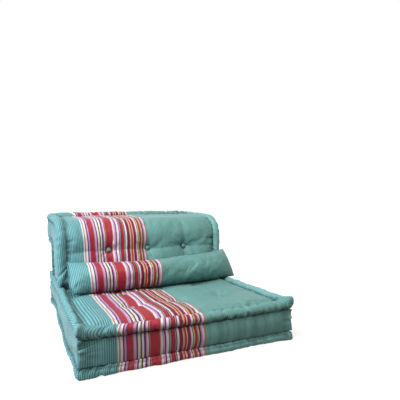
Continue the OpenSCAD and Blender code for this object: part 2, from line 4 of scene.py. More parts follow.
import bpy
import numpy as np
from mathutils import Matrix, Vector

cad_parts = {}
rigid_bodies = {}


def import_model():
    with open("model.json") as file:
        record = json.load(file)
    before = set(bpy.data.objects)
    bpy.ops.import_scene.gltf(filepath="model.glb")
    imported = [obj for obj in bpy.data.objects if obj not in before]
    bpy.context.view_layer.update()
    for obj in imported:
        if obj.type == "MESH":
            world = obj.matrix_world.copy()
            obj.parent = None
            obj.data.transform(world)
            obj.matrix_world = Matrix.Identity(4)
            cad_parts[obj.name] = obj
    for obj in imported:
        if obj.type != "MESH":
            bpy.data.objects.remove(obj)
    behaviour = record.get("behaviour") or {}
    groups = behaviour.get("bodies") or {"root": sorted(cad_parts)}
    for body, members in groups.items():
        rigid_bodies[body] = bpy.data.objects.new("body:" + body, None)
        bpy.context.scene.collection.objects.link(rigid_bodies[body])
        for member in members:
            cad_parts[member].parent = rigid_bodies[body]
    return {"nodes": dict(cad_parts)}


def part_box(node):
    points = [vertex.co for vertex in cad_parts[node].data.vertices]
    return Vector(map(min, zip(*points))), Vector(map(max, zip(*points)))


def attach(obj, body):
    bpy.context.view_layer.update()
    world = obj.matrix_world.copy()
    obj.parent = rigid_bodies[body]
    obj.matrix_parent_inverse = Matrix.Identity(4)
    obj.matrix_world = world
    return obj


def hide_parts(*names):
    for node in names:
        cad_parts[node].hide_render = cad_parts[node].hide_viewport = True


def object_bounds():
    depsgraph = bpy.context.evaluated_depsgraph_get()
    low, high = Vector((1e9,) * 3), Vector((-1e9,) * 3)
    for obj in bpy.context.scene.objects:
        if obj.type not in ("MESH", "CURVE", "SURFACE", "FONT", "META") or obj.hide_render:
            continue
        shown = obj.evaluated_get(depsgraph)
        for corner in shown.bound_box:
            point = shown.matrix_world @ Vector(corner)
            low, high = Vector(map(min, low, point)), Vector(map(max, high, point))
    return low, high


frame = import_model()
cad_low, cad_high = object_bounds()

# ---- sizes of the chair, in metres
DEPTH = cad_high.y - cad_low.y
DEPTH_SHIFT = -0.5 * DEPTH
SEAT_W, SEAT_D = 0.950, 0.975
LOW_ROLL, TOP_ROLL, BOXING = 0.033, 0.052, 0.1044
BOXING_LOW = LOW_ROLL + 0.0003
ROLL_LOW = BOXING_LOW + BOXING + 0.0003
CREST = ROLL_LOW + TOP_ROLL
SEAT_REST = ROLL_LOW + 0.74 * TOP_ROLL
PANEL_EDGE = ROLL_LOW + 0.27 * TOP_ROLL
ROLL_W, DRAW_IN, UNDER_ROLL = 0.044, 0.008, 0.004
TUFT_X = (-0.208, 0.014, 0.236)
TUFT_Y = (0.232, 0.454, 0.676)
BACK_Y, LEAN, RISE = 0.620, math.radians(4), math.radians(1.5)
FACE_LEN, HEAD_R, TOP_LEN = 0.208, 0.093, 0.280
FACE_CROWN, TOP_CROWN = 0.025, 0.008
STEM_D, STEM_H, REAR_ROLL, NOTCH_R = 0.264, 0.170, 0.036, 0.022
FOOT_Z = CREST + 0.002 + 0.0003 + ROLL_W / 2
BEND_LEN = HEAD_R * (math.pi / 2 - LEAN - RISE)
FACE_TOTAL = FACE_LEN + BEND_LEN + TOP_LEN
REAR_FOOT = (BACK_Y + STEM_D, FOOT_Z - ROLL_W / 2 + REAR_ROLL / 2)
UNDER_Z = REAR_FOOT[1] + STEM_H
HEAD_REAR = DEPTH - REAR_ROLL / 2
STEM_LEN = STEM_H - NOTCH_R
NOTCH_LEN = NOTCH_R * math.pi / 2
REAR_TOTAL = STEM_LEN + NOTCH_LEN + (HEAD_REAR - REAR_FOOT[0] - NOTCH_R)
BACK_TUFT_Z = UNDER_Z - 0.008 - 0.0125 - 0.0025
BACK_TUFT_S = (BACK_TUFT_Z - FOOT_Z) / math.cos(LEAN)
BORDER_IN, BORDER_T = 0.012, 0.016
STITCH_PITCH, BORDER_PITCH = 0.034, 0.031

# ---- camera
camera_data = bpy.data.cameras.new("camera")
camera_data.sensor_width, camera_data.lens = 36, 31.48
camera_data.shift_x = camera_data.shift_y = 0.106
camera_data.clip_start = 0.05
camera = bpy.data.objects.new("camera", camera_data)
bpy.context.scene.collection.objects.link(camera)
camera.location = (-0.6747, -1.1676 + DEPTH_SHIFT, 0.6354)
camera.rotation_mode = "XYZ"
camera.rotation_euler = (math.radians(90 - 7.355), 0.0, math.radians(-22.61))
bpy.context.scene.camera = camera


# ---- small tools for shapes
def ease(v, a, b):
    """0 before a, 1 after b, and a soft step between them."""
    t = np.clip((np.asarray(v, float) - a) / (b - a), 0, 1)
    return t * t * (3 - 2 * t)


def hill(d, width):
    return np.exp(-(np.asarray(d, float) ** 2) / (2 * width * width))


def crease(d, width):
    """A fold line: sharp in the middle, soft outside."""
    return np.exp(-np.sqrt(np.asarray(d, float) ** 2 + (0.25 * width) ** 2) / width)


def seams(w, width):
    """1 at the two edges of a strip, where w is 0 and 1, and fading inwards."""
    return np.exp(-(1 - w) / width) + np.exp(-w / width)


def filled(d, zone):
    """0 at a panel's edge, and 1 from the end of the zone on."""
    return np.sin(math.pi / 2 * np.clip(d / zone, 0, 1))


def turn(a, b):
    return np.angle(np.exp(1j * (a - b)))


def spread(n, pack):
    """A column of steps from -1 to 1 that lie closer together at the ends."""
    t = np.sin(np.linspace(-1, 1, n) * math.pi / 2 * pack)[:, None]
    return t / t.max()


def column(n):
    return np.linspace(0, 1, n)[:, None]


def angles(m):
    """Angles round a roll, and the same with the full turn at their end."""
    a = (2 * math.pi * np.arange(m) / m)[None, :]
    return a, np.concatenate([a, [[2 * math.pi]]], 1)


def rumple(x, y, z, size, seed):
    """Smooth noise from -1 to 1, with lumps of about that size."""
    table = np.random.default_rng(seed).random((24, 24, 24)) * 2 - 1
    x, y, z = np.broadcast_arrays(x, y, z)
    q = np.stack([x, y, z], -1) / size + 100.37
    i = np.floor(q).astype(int)
    f = q - i
    f = f * f * (3 - 2 * f)
    out = np.zeros(x.shape)
    for a, b, c in np.ndindex(2, 2, 2):
        weight = (f[..., 0] if a else 1 - f[..., 0]) * (f[..., 1] if b else 1 - f[..., 1])
        weight = weight * (f[..., 2] if c else 1 - f[..., 2])
        out += weight * table[(i[..., 0] + a) % 24, (i[..., 1] + b) % 24, (i[..., 2] + c) % 24]
    return out


def grain(s, size, row, seed):
    """The same along one line, in one of its rows."""
    return rumple(s / size, row, 0.0, 1.0, seed)


# ---- small tools for pieces
waiting = []    # each piece, with its body, slot, the parts it stands for and its fill
to_settle = []  # each cloth that settles, with its held points and the most that the others may move


def add_piece(name, mesh, body, slot, nodes, fill=None):
    piece = bpy.data.objects.new(name, mesh)
    bpy.context.scene.collection.objects.link(piece)
    waiting.append((piece, body, slot, nodes, fill))
    return piece


def make_piece(name, points, faces, loop_uv, finish, body, nodes, fill=None, tuck=None):
    """A closed, smooth piece. loop_uv is each corner's place on the cloth, tuck each point's painted shade."""
    # the solids' own finish has the plain name already, so Blender adds a number to this one
    slot = finish.name.split(".")[0]
    mesh = bpy.data.meshes.new(name)
    mesh.from_pydata([tuple(p) for p in points], [], faces)
    layer = mesh.uv_layers.new(name="cloth")
    layer.data.foreach_set("uv", np.asarray(loop_uv, np.float32).ravel())
    # tuck, the painted shade, is kept on the mesh as a point attribute
    if tuck is not None:
        depth = mesh.attributes.new("tuck", "FLOAT", "POINT")
        depth.data.foreach_set("value", np.clip(np.asarray(tuck, np.float32).ravel(), 0, 1))
    mesh.polygons.foreach_set("use_smooth", [True] * len(mesh.polygons))
    mesh.materials.append(finish)
    mesh.update()
    return add_piece(name, mesh, body, slot, nodes, fill)


def inside_out(points, faces):
    p = np.asarray(points, float)
    volume = 0.0
    for corners in sorted({len(f) for f in faces}):
        f = np.array([g for g in faces if len(g) == corners])
        for k in range(1, corners - 1):
            volume += np.einsum("ij,ij->", p[f[:, 0]], np.cross(p[f[:, k]], p[f[:, k + 1]]))
    return volume < 0


def level_edges(outer, axis, level):
    """The two edges of a padded panel's inside, below the ends of its rows."""
    left, right = outer[:, 0].copy(), outer[:, -1].copy()
    left[:, axis] = right[:, axis] = level
    return left, right


def pad(name, outer, edges, uv, finish, body, node, fill=0.7, tuck=None):
    """A padded panel: a fine outside, and inside a plain surface that runs straight across."""
    n, m = outer.shape[:2]
    points = np.concatenate([outer.reshape(-1, 3), *edges])
    la, ra = n * m, n * m + n
    rows = range(n - 1)
    faces = [(i * m + j, i * m + j + 1, (i + 1) * m + j + 1, (i + 1) * m + j) for i in rows for j in range(m - 1)]
    faces += [(la + i, la + i + 1, ra + i + 1, ra + i) for i in rows]
    faces += [(la + i, i * m, (i + 1) * m, la + i + 1) for i in rows]
    faces += [(ra + i, ra + i + 1, (i + 1) * m + m - 1, i * m + m - 1) for i in rows]
    faces += [(la, ra, *range(m - 1, -1, -1)), (ra + n - 1, la + n - 1, *range((n - 1) * m, n * m))]
    flat = np.concatenate([uv.reshape(-1, 2), uv[:, 0], uv[:, -1]])
    if inside_out(points, faces):
        faces = [f[::-1] for f in faces]
    loops = np.concatenate([flat[list(f)] for f in faces])
    if tuck is not None:
        tuck = np.concatenate([(tuck + np.zeros((n, m))).ravel(), np.zeros(2 * n)])
    return make_piece(name, points, faces, loops, finish, body, [node], fill, tuck)


def tube(node, rings, uv, finish, body, tuck):
    """A stuffed roll: rings of points, closed at both ends. uv has one more column than the rings."""
    n, m = rings.shape[:2]
    points = rings.reshape(-1, 3)
    corners = [[(i, j), (i, j + 1), (i + 1, j + 1), (i + 1, j)] for i in range(n - 1) for j in range(m)]
    corners += [[(0, j) for j in range(m - 1, -1, -1)], [(n - 1, j) for j in range(m)]]
    faces = [tuple(i * m + j % m for i, j in c) for c in corners]
    if inside_out(points, faces):
        faces, corners = [f[::-1] for f in faces], [c[::-1] for c in corners]
    loops = np.array([uv[i, j] for c in corners for i, j in c])
    return make_piece(f"{node}_cloth", points, faces, loops, finish, body, [node], 0.9, tuck)


def let_settle(piece, shape, apart, cap, free=True):
    """A panel's cloth is held at its edges and tufts, and settles elsewhere."""
    inner = np.zeros(shape, bool)
    inner[1:-1, 1:-1] = True
    inner &= (apart > 0.014) & free
    held = np.ones(len(piece.data.vertices), bool)
    held[:inner.size] = ~inner.ravel()
    to_settle.append((piece, held, cap))


# ---- finishes
def colour(r, g, b):
    """A colour as seen on a screen, 0 to 255, as the shader wants it."""
    return tuple(((c / 255 + 0.055) / 1.055) ** 2.4 if c > 10 else c / 255 / 12.92 for c in (r, g, b)) + (1.0,)


class Wire:
    """One number on its way between shader nodes."""

    def __init__(self, nodes, socket):
        self.nodes, self.socket = nodes, socket

    def _do(self, operation, *values):
        return Wire(self.nodes, self.nodes.node("Math", {"operation": operation}, values).outputs[0])

    def __add__(self, v): return self._do("ADD", self, v)
    __radd__ = __add__
    def __sub__(self, v): return self._do("SUBTRACT", self, v)
    def __rsub__(self, v): return self._do("SUBTRACT", v, self)
    def __mul__(self, v): return self._do("MULTIPLY", self, v)
    __rmul__ = __mul__
    def __truediv__(self, v): return self._do("DIVIDE", self, v)
    def sine(self): return self._do("SINE", self)
    def size(self): return self._do("ABSOLUTE", self)
    def power(self, v): return self._do("POWER", self, v)
    def above(self, v): return self._do("GREATER_THAN", self, v)
    def below(self, v): return self._do("LESS_THAN", self, v)
    def highest(self, v): return self._do("MAXIMUM", self, v)


class Nodes:
    """A shader's node tree, built one node a line."""

    def __init__(self, tree):
        self.tree = tree

    def node(self, kind, settings=None, values=()):
        made = self.tree.nodes.new("ShaderNode" + kind)
        for key, value in (settings or {}).items():
            if key == "stops":
                ramp = made.color_ramp
                ramp.interpolation = "CONSTANT"
                while len(ramp.elements) > 1:
                    ramp.elements.remove(ramp.elements[-1])
                for i, (at, tint) in enumerate(value):
                    stop = ramp.elements[0] if i == 0 else ramp.elements.new(at)
                    stop.position, stop.color = at, tint
            else:
                setattr(made, key, value)
        for key, value in values.items() if isinstance(values, dict) else enumerate(values):
            self.put(value, made.inputs[key])
        return made

    def put(self, value, socket):
        if isinstance(value, Wire):
            self.tree.links.new(value.socket, socket)
        else:
            socket.default_value = value

    def wire(self, kind, settings=None, values=(), out=0):
        return Wire(self, self.node(kind, settings, values).outputs[out])

    def blend(self, mask, a, b):
        return self.wire("Mix", {"data_type": "RGBA"}, {0: mask, 6: a, 7: b}, 2)

    def tint(self, a, b):
        return self.wire("Mix", {"data_type": "RGBA", "blend_type": "MULTIPLY"}, {0: 1.0, 6: a, 7: b}, 2)

    def noise(self, where, scale, detail=3.0):
        return self.wire("TexNoise", {}, {"Vector": where, "Scale": scale, "Detail": detail, "Roughness": 0.55})

    def seen(self):
        """1 for what the eye, a reflection or a clear body sees, 0 for scattered light."""
        rays = self.node("LightPath")
        kinds = ("Camera", "Glossy", "Transmission")
        eye, glossy, clear = [Wire(self, rays.outputs[f"Is {kind} Ray"]) for kind in kinds]
        return eye.highest(glossy).highest(clear)


class Finish(Nodes):
    def __init__(self, name):
        self.material = bpy.data.materials.new(name)
        self.material.use_nodes = True
        super().__init__(self.material.node_tree)
        self.shader = self.tree.nodes["Principled BSDF"]

    def feed(self, **values):
        """Values for the shader's sockets: Base_Color stands for Base Color."""
        for name, value in values.items():
            self.put(value, self.shader.inputs[name.replace("_", " ")])

    def bump(self, strength, distance, height):
        made = self.node("Bump", {}, {"Strength": strength, "Distance": distance, "Height": height})
        self.feed(Normal=Wire(self, made.outputs[0]))


# the cloth's ground on the left, and the greener one on the right
TEAL, TEAL_LIGHT, TEAL_DEEP = colour(88, 135, 133), colour(126, 178, 190), colour(44, 82, 74)
SAGE, SAGE_LIGHT, SAGE_DEEP = colour(97, 141, 136), colour(138, 188, 184), colour(42, 79, 69)
PIN_PITCH, THREAD_U, THREAD_V = 0.0078, 0.0009, 0.0011

# The woven band: each stripe's right edge in millimetres from the middle, and its colour
BAND_COLOURS = {
    "cream": (238, 226, 214), "rust": (188, 120, 84), "grey": (150, 134, 134), "white": (210, 200, 205),
    "plum": (92, 30, 78), "mauve": (187, 134, 175), "bark": (84, 54, 56), "red": (155, 38, 54),
    "heather": (160, 134, 156), "pink": (202, 148, 180), "olive": (176, 180, 112), "mist": (209, 203, 213),
    "wine": (104, 22, 40), "magenta": (142, 32, 96), "tan": (190, 162, 138), "crimson": (178, 26, 52),
    "stone": (140, 134, 116), "gold": (206, 168, 104), "dark": (58, 26, 44)}
BAND_START = -338
BAND = """-335 cream -332 rust -328 grey -319 white -313 plum -306 mauve -302 bark -279 red -274 heather
    -267 pink -260 plum -254 mist -250 olive -244 bark -236 white -228 plum -222 mauve -217 mist -214 dark
    -210 rust -171 red -167 rust -160 mist -151 mauve -145 plum -134 white -130 magenta -124 stone -120 plum
    -111 crimson -107 wine -102 stone -98 wine -90 white -86 magenta -77 wine -74 bark -69 tan -66 rust
    -59 crimson -54 tan -50 bark -46 wine -39 magenta -31 white -27 bark -22 olive -15 crimson -11 bark
    -7 grey -2 gold 6 plum 13 mauve 20 mist 24 stone 28 rust""".split()
BAND = [(int(edge), colour(*BAND_COLOURS[name])) for edge, name in zip(BAND[::2], BAND[1::2])]
RAMP_LIMIT = 27


def cloth(name, banded, tone=1.0):
    """The weave. Across it, places below -0.15 are teal, and those above 0.9 are the right-hand rolls, which get a
    painted highlight.
    """
    f = Finish(name)
    split = f.node("SeparateXYZ", {}, {0: f.wire("UVMap", {"uv_map": "cloth"})})
    across, along = Wire(f, split.outputs[0]), Wire(f, split.outputs[1])

    def at(u, v):
        return f.wire("CombineXYZ", {}, (across * u, along * v, 0.0))

    # fine light and deep pinstripes, calmer on the right
    pin = (across * (2 * math.pi / PIN_PITCH)).sine() * 0.5 + 0.5
    right, lit_right_rolls = across.above(-0.15), across.above(0.9)
    calm = 1.0 - 0.55 * (right - lit_right_rolls)
    light, deep = pin.power(2.0) * calm, (1.0 - pin).power(2.4) * calm
    soft = at(1.0, 1.0)
    drift = f.noise(soft, 7.0, 2.0)
    shade, sheen = f.noise(at(260.0, 14.0), 1.0, 2.0), f.noise(at(24.0, 1.6), 1.0, 2.0)
    # tuck is painted shade, set on each piece: deepest in seams and folds, lighter over whole faces
    tuck = f.wire("Attribute", {"attribute_name": "tuck"}, (), 2)
    pale, dark = f.blend(right, TEAL_LIGHT, SAGE_LIGHT), f.blend(right, TEAL_DEEP, SAGE_DEEP)
    face = f.blend(light * 0.78 + 0.12 * (1.0 - calm), f.blend(right, TEAL, SAGE), pale)
    # painted sheen: pale and dark streaks, much stronger where tuck, the painted shade, is above 0.15
    streaky = 0.30 + 1.9 * tuck.above(0.15)
    shine, dull = (sheen - 0.46).highest(0.0) * streaky, (0.48 - sheen).highest(0.0) * streaky
    # deep pinstripes and drift darken, the right-hand rolls get a painted highlight, then the painted sheen streaks
    for share, shaded in ((deep * 0.68, dark), ((drift - 0.5).size() * 0.35, dark), (lit_right_rolls * 0.34, pale),
                          (shine, pale), (dull, dark)):
        face = f.blend(share, face, shaded)
    if banded:
        start = BAND_START
        for stripes in (BAND[:RAMP_LIMIT], BAND[RAMP_LIMIT:]):
            end = stripes[-1][0]
            edges = [start] + [s[0] for s in stripes[:-1]]
            stops = [((e - start) / (end - start), s[1]) for e, s in zip(edges, stripes)]
            t = (across * 1000.0 - start) / (end - start)
            face = f.blend(t.above(0.0) * t.below(1.0), face, f.wire("ValToRGB", {"stops": stops}, (t,)))
            start = end
    fleck = f.blend(shade, (0.80 * tone,) * 3 + (1,), (1.14 * tone,) * 3 + (1,))
    # painted shade: the colour darkens towards grey as tuck rises
    painted_shade = f.blend(tuck * 0.62, (1, 1, 1, 1), (0.16, 0.17, 0.17, 1))
    f.feed(Base_Color=f.tint(f.tint(face, fleck), painted_shade), Roughness=0.42 + shade * 0.14,
           Sheen_Weight=0.12, Sheen_Roughness=0.4, Specular_IOR_Level=0.22)
    threads = (along * (2 * math.pi / THREAD_V)).sine() * (across * (2 * math.pi / THREAD_U)).sine()
    f.bump(0.20, 0.0006, threads * 0.5 + f.noise(soft, 900.0, 2.0))
    return f.material


def plain(name, tint_a, tint_b, scale, roughness, bump_scale, bump_depth, metal=0.0):
    f = Finish(name)
    where = f.wire("TexCoord", {}, (), 3)
    cloudy = f.noise(where, scale)
    f.feed(Base_Color=f.blend(cloudy, colour(*tint_a), colour(*tint_b)), Roughness=roughness + cloudy * 0.1,
           Metallic=metal)
    f.bump(0.5, bump_depth, f.noise(where, bump_scale, 2.0))
    return f.material


striped = cloth("striped_cloth", True)
teal = cloth("teal_cloth", False)
underside = cloth("underside_cloth", False, 0.85)
button_cloth = cloth("button_cloth", False, 0.95)
foam = plain("foam", (240, 228, 190), (226, 210, 168), 20, 0.85, 600, 0.0006)
wadding = plain("wadding", (244, 244, 240), (228, 228, 224), 30, 0.9, 400, 0.001)
twine = plain("twine", (206, 186, 148), (176, 152, 112), 300, 0.7, 1500, 0.0004)
thread = plain("stitch_thread", (70, 112, 108), (52, 90, 86), 120, 0.6, 1600, 0.0003)
zip_tape = plain("zip_tape", (76, 128, 128), (62, 110, 112), 60, 0.75, 1800, 0.0003)
zip_chain = plain("zip_chain", (66, 116, 116), (56, 102, 104), 80, 0.45, 900, 0.0002)
zip_metal = plain("zip_metal", (188, 190, 188), (168, 170, 168), 90, 0.35, 700, 0.0001, 1.0)


# ---- the seat's own frame and its slackness
def spot(x, y, z):
    """Points measured from the seat's front, put into the chair's frame."""
    x, y, z = np.broadcast_arrays(np.asarray(x, float), y, z)
    return np.stack([x, y + DEPTH_SHIFT, z], -1)


# each corner of the seat: left or right, front or rear, and how far it flares out in X and Y
CORNERS = ((-1, 0, -0.012, -0.004), (1, 0, -0.014, -0.009), (-1, 1, -0.006, 0.006), (1, 1, 0.004, 0.006))


def seat_spot(x, y, z):
    """The same for the seat, which sags between its corners and flares out at them."""
    x, y, z = np.broadcast_arrays(np.asarray(x, float), y, z)
    up = ease(z, 0.015, 0.13)
    slack = 1 - (x / (SEAT_W / 2)) ** 2
    z = z - 0.0120 * up * slack * hill(y, 0.050)
    dx, dy, dz = 0 * x, 0 * x, 0 * x
    for side, end, fx, fy in CORNERS:
        away = np.hypot(x - side * SEAT_W / 2, y - end * SEAT_D)
        near = hill(away, 0.050)
        dx, dy = dx + fx * near, dy + fy * near
        # the upper roll stands up as an ear, and the foot lifts a little
        dz = dz + 0.0075 * hill(away, 0.024) * ease(z, ROLL_LOW, CREST)
        dz = dz + 0.0110 * hill(away, 0.055) * ease(z, 0.0, 0.033) * (1 - ease(z, 0.04, 0.13))
    # the left side bellies out, most of all low down in front, and is drawn in near the rear
    belly = 1 - np.clip(np.abs(2 * y / SEAT_D - 1), 0, 1) ** 8
    left = ease(-x, 0.36, 0.435)
    dx = dx - left * (0.0130 * belly + 0.0110 * hill(y - 0.27, 0.11) * (1 - 0.7 * up))
    dx = dx + 0.0170 * left * hill(y - 0.83, 0.09) * (1 - ease(z, 0.03, 0.09))
    # its upper roll is narrow in front
    dx = dx - 0.0130 * hill(x + 0.430, 0.020) * ease(z, 0.13, 0.155) * (1 - ease(y, 0.45, 0.62))
    # the lower rolls are pressed outwards
    dx = dx + 0.006 * (1 - 0.5 * up) * hill(np.abs(x) - SEAT_W / 2, 0.03) * hill(z, 0.035) * np.sign(x)
    dy = dy - 0.005 * hill(y, 0.03) * hill(z, 0.035)
    return spot(x + dx, y + dy, np.maximum(z + dz, 0.0004))


# ---- hand-stitched edge rolls
# where each kind of roll is sewn: the seam's angle, and how deep and how wide the valley is
SEAMS = {"top": ((-0.70, 0.30, 0.45), (3.0, 0.24, 0.45)), "low": ((0.75, 0.26, 0.42), (2.4, 0.10, 0.4)),
         "face": ((-0.45, 0.34, 0.34), (3.75, 0.24, 0.45)), "rear": ((-0.75, 0.24, 0.45), (3.75, 0.22, 0.45)),
         "cross": ((-0.75, 0.26, 0.45), (3.75, 0.22, 0.45))}
# places along a roll where it is pinched, and how hard
PINCHES = {
    "top_front": ((-0.392, 0.34), (-0.205, 0.12), (-0.02, 0.14), (0.118, 0.26), (0.235, 0.24), (0.432, 0.28)),
    "top_right": ((-0.40, 0.2), (-0.12, 0.16), (0.2, 0.2)), "top_rear": ((-0.3, 0.2), (0.1, 0.2), (0.4, 0.22)),
    "top_left": ((-0.36, 0.2), (-0.05, 0.16), (0.30, 0.16), (0.43, 0.2)),
    "low_front": ((-0.41, 0.30), (0.17, 0.16), (0.245, 0.20)), "low_right": ((-0.3, 0.2), (0.2, 0.2)),
    "low_rear": ((-0.2, 0.2), (0.33, 0.2)), "low_left": ((-0.1, 0.2), (0.35, 0.25)),
    "face": ((0.044, 0.17), (0.245, 0.10), (0.42, 0.18), (0.52, 0.2)), "rear": (),
    "cross": ((-0.36, 0.22), (-0.21, 0.16), (-0.05, 0.18), (0.13, 0.22), (0.3, 0.2), (0.41, 0.2))}
hand_stitches = {"seat": [], "back": []}


def stitch_way(s, seed, pitch):
    """Distance along a seam, counted in stitches of irregular length."""
    return s / pitch + 0.55 * rumple(s, seed * 1.7, 0.0, 0.07, seed)


def stitch_pull(s, seed, pitch):
    """How hard the hand stitches pull along a seam, 0 to 1."""
    return (0.5 + 0.5 * np.cos(2 * math.pi * stitch_way(s, seed, pitch))) ** 2.5


def roll_shape(s, a, seed, kind, plump, pinches, ropy):
    """Radius factor of a roll at distance s and angle a round it. ropy says how coarsely it is gathered."""
    ca, sa = np.cos(a), np.sin(a)
    shape = 1 + plump * (0.095 * rumple(s / 0.050, ca * 0.5, sa * 0.5, 1.0, seed)
                         + 0.070 * rumple(s / 0.022, ca * 1.1, sa * 1.1, 1.0, seed + 7))
    for at, strength, width in SEAMS[kind]:
        pull = stitch_pull(s, seed + int(at * 10), STITCH_PITCH)
        shape = shape - strength * (0.25 + 0.75 * pull) * hill(turn(a, at), width)
        gather = rumple(s / 0.0075 + (ropy - 1) * sa, ca * 0.8, sa * 0.8, 1.0, seed + 11)
        shape = shape + 0.085 * plump * ropy * gather * hill(turn(a, at), width * 2.2)
    for place, depth in PINCHES[pinches]:
        tight = hill(s - place + 0.004 * np.sin(a * 2), 0.0065)
        bulged = hill(np.abs(s - place) - 0.017, 0.008)
        shape = shape - depth * tight * (0.65 + 0.35 * np.cos(a - 1.0)) + 0.25 * depth * bulged
    return shape


def sew_roll(node, body, rings, uv, finish, s, a, kind, seed, drawn=0):
    """The roll's cloth, with painted shade in its seams and wherever drawn adds it, and the stitches of its outer
    seam.
    """
    at = SEAMS[kind][0][0]
    way = stitch_way(s[:, 0], seed + int(at * 10), STITCH_PITCH)
    j = int(round(at / (2 * math.pi) * a.size)) % a.size
    for i in range(4, len(rings) - 4):
        if math.floor(way[i]) != math.floor(way[i - 1]):
            hand_stitches[body].append((rings[i, j], rings[i + 3, j] - rings[i - 3, j]))
    # painted shade along each seam's valley, plus the painted shade given as drawn
    tuck = sum(hill(turn(a, seam[0]), 0.30) for seam in SEAMS[kind]) + 0 * s
    tube(node, rings, uv, finish, body, tuck + drawn)


def soften_corner(x, y, half_x, half_y, zone=0.045, amount=0.40):
    """Rounds off the corners of a rectangle of points."""
    ca = np.clip((np.abs(x) - (half_x - zone)) / zone, 0, None)
    cb = np.clip((np.abs(y) - (half_y - zone)) / zone, 0, None)
    rounded = (ca ** 5 + cb ** 5) ** 0.2
    k = np.where(rounded > 1e-6, np.maximum(ca, cb) / np.maximum(rounded, 1e-6), 1.0)
    k = 1 + (k - 1) * amount
    sx = np.sign(x) * np.where(ca > 0, half_x - zone + zone * ca * k, np.abs(x))
    sy = np.sign(y) * np.where(cb > 0, half_y - zone + zone * cb * k, np.abs(y))
    return sx, sy


# ---- the seat mattress
SIDES = ("front", "right", "rear", "left")


def side_sizes(side):
    """The side's number, its length, and the seat's size across it."""
    number = SIDES.index(side)
    return (number, SEAT_W, SEAT_D) if number % 2 == 0 else (number, SEAT_D, SEAT_W)


def on_side(number, x, y, z):
    """From a side's own frame, X along it and Y inwards, into the seat's place."""
    c, d = math.cos(number * math.pi / 2), math.sin(number * math.pi / 2)
    return seat_spot(x * c - y * d, x * d + y * c + SEAT_D / 2, z)


def slant(nook):
    """Pinstripes of the side strips and left rolls run down from the corners."""
    return 1 - np.exp(-nook / 0.38)


def seat_roll(side, low):
    number, length, across = side_sizes(side)
    kind = "low" if low else "top"
    half_h, half_w = (LOW_ROLL if low else TOP_ROLL) / 2, ROLL_W / 2
    mid = half_h if low else ROLL_LOW + half_h
    t = spread(330, 0.92)
    a, a_wide = angles(30)
    s = t * length / 2
    nook = (1 - np.abs(t)) * length / 2
    seed = 11 + number * 5 + (3 if low else 0)
    shape = roll_shape(s, a, seed, kind, 0.85 if low else 1.15, f"{kind}_{side}",
                       {"right": 2.0, "front": 1.9}.get(side, 1.0))
    squat = 1.0 if low else (0.79 if side == "front" else 0.90)
    squat = squat + (1 - squat) * hill(nook, 0.026)
    # nearly square at its ends, and the front's lower roll is flat on the floor
    blocky = (np.cos(a) ** 4 + np.sin(a) ** 4) ** -0.25 - 1
    flat = 1.0 if low and side == "front" else 0.0
    shape = shape * (1 + 0.85 * blocky * hill(nook, 0.030))
    shape = shape * (1 + 0.85 * flat * blocky * ease(-np.sin(a), 0, 0.5) * ease(np.cos(a), 0, 0.5))
    inset = half_w * (1 - shape * np.cos(a) - 0.03)
    rise = np.maximum(half_h * (shape * np.sin(a) * squat * 1.02 + squat - 1), 0.0004 - mid)
    bow = (DRAW_IN - 0.0135 * flat) * (1 - t ** 2) + 0.0022 * grain(s, 0.11, 0.0, seed + 2)
    ear = 0 if low else 0.002 * np.abs(t) ** 26 - 0.0015 * (1 - np.abs(t) ** 6)
    x = t * (length / 2 - inset) * (1 + 0.004 * np.abs(t) ** 30)
    y = -across / 2 + inset + bow - 0.003 * np.abs(t) ** 30
    x, y = soften_corner(x, y, length / 2, across / 2, *((0.050, 1.15) if low else (0.045, 0.40)))
    z = mid + rise + ear + (0 if low else 0.002) * grain(s, 0.09, 3.0, seed + 3)
    rings = on_side(number, x, y, np.maximum(z, 0.0004))
    if number % 2 == 0:
        u = s * (1 if number == 0 else -1) + 0 * a_wide
        if number == 0:
            u = u + (0.006 + 0.004 * ease(u, -0.3, 0.0) if low else 0.008 - 0.005 * ease(u, -0.3, 0.0))
        uv = np.stack([u + 0.004 * grain(s, 0.05, 5.0, seed), a_wide * half_w + 0 * s], -1)
    else:
        # the right-hand roll lies above 0.9 across, where the cloth gets a painted highlight
        wound = 1.5 + 0.7 * s if side == "right" else -0.9 + 0.15 * slant(nook)
        uv = np.stack([wound + a_wide * half_w, s + 0 * a_wide], -1)
    sew_roll(f"seat_{kind}_roll_{side}", "seat", rings, uv, teal if number % 2 else striped, s, a, kind, seed)


def tuft_pull(x, y, spots, reach):
    """How the cloth is drawn sideways towards the tufts."""
    dx, dy = 0 * x, 0 * y
    for tx, ty in spots:
        near = hill(np.hypot(x - tx, y - ty), reach)
        dx, dy = dx - (x - tx) * near, dy - (y - ty) * near
    return dx, dy


def tufts(x, y, spots, wide, narrow):
    """Round the tufts: wide dimples, narrow ones, a ring round each button where shade is painted, and the distance.
    """
    far = [np.hypot(x - tx, y - ty) for tx, ty in spots]
    sums = [sum(hill(r - ring, width) for r in far) for ring, width in ((0, wide), (0, narrow), (0.012, 0.005))]
    return *sums, np.min(far, 0)


def folds_round(x, y, spots, seed, reach=0.055):
    """Fine folds that run out from each tuft."""
    out = 0 * x
    for i, (tx, ty) in enumerate(spots):
        r = np.hypot(x - tx, y - ty)
        turned = np.arctan2(y - ty, x - tx)
        star = rumple(np.cos(turned) * 2.6, np.sin(turned) * 2.6, i * 3.3, 0.62, seed + i)
        out = out + star * hill(r - 0.030, reach * 0.5) * ease(r, 0.010, 0.030)
    return out


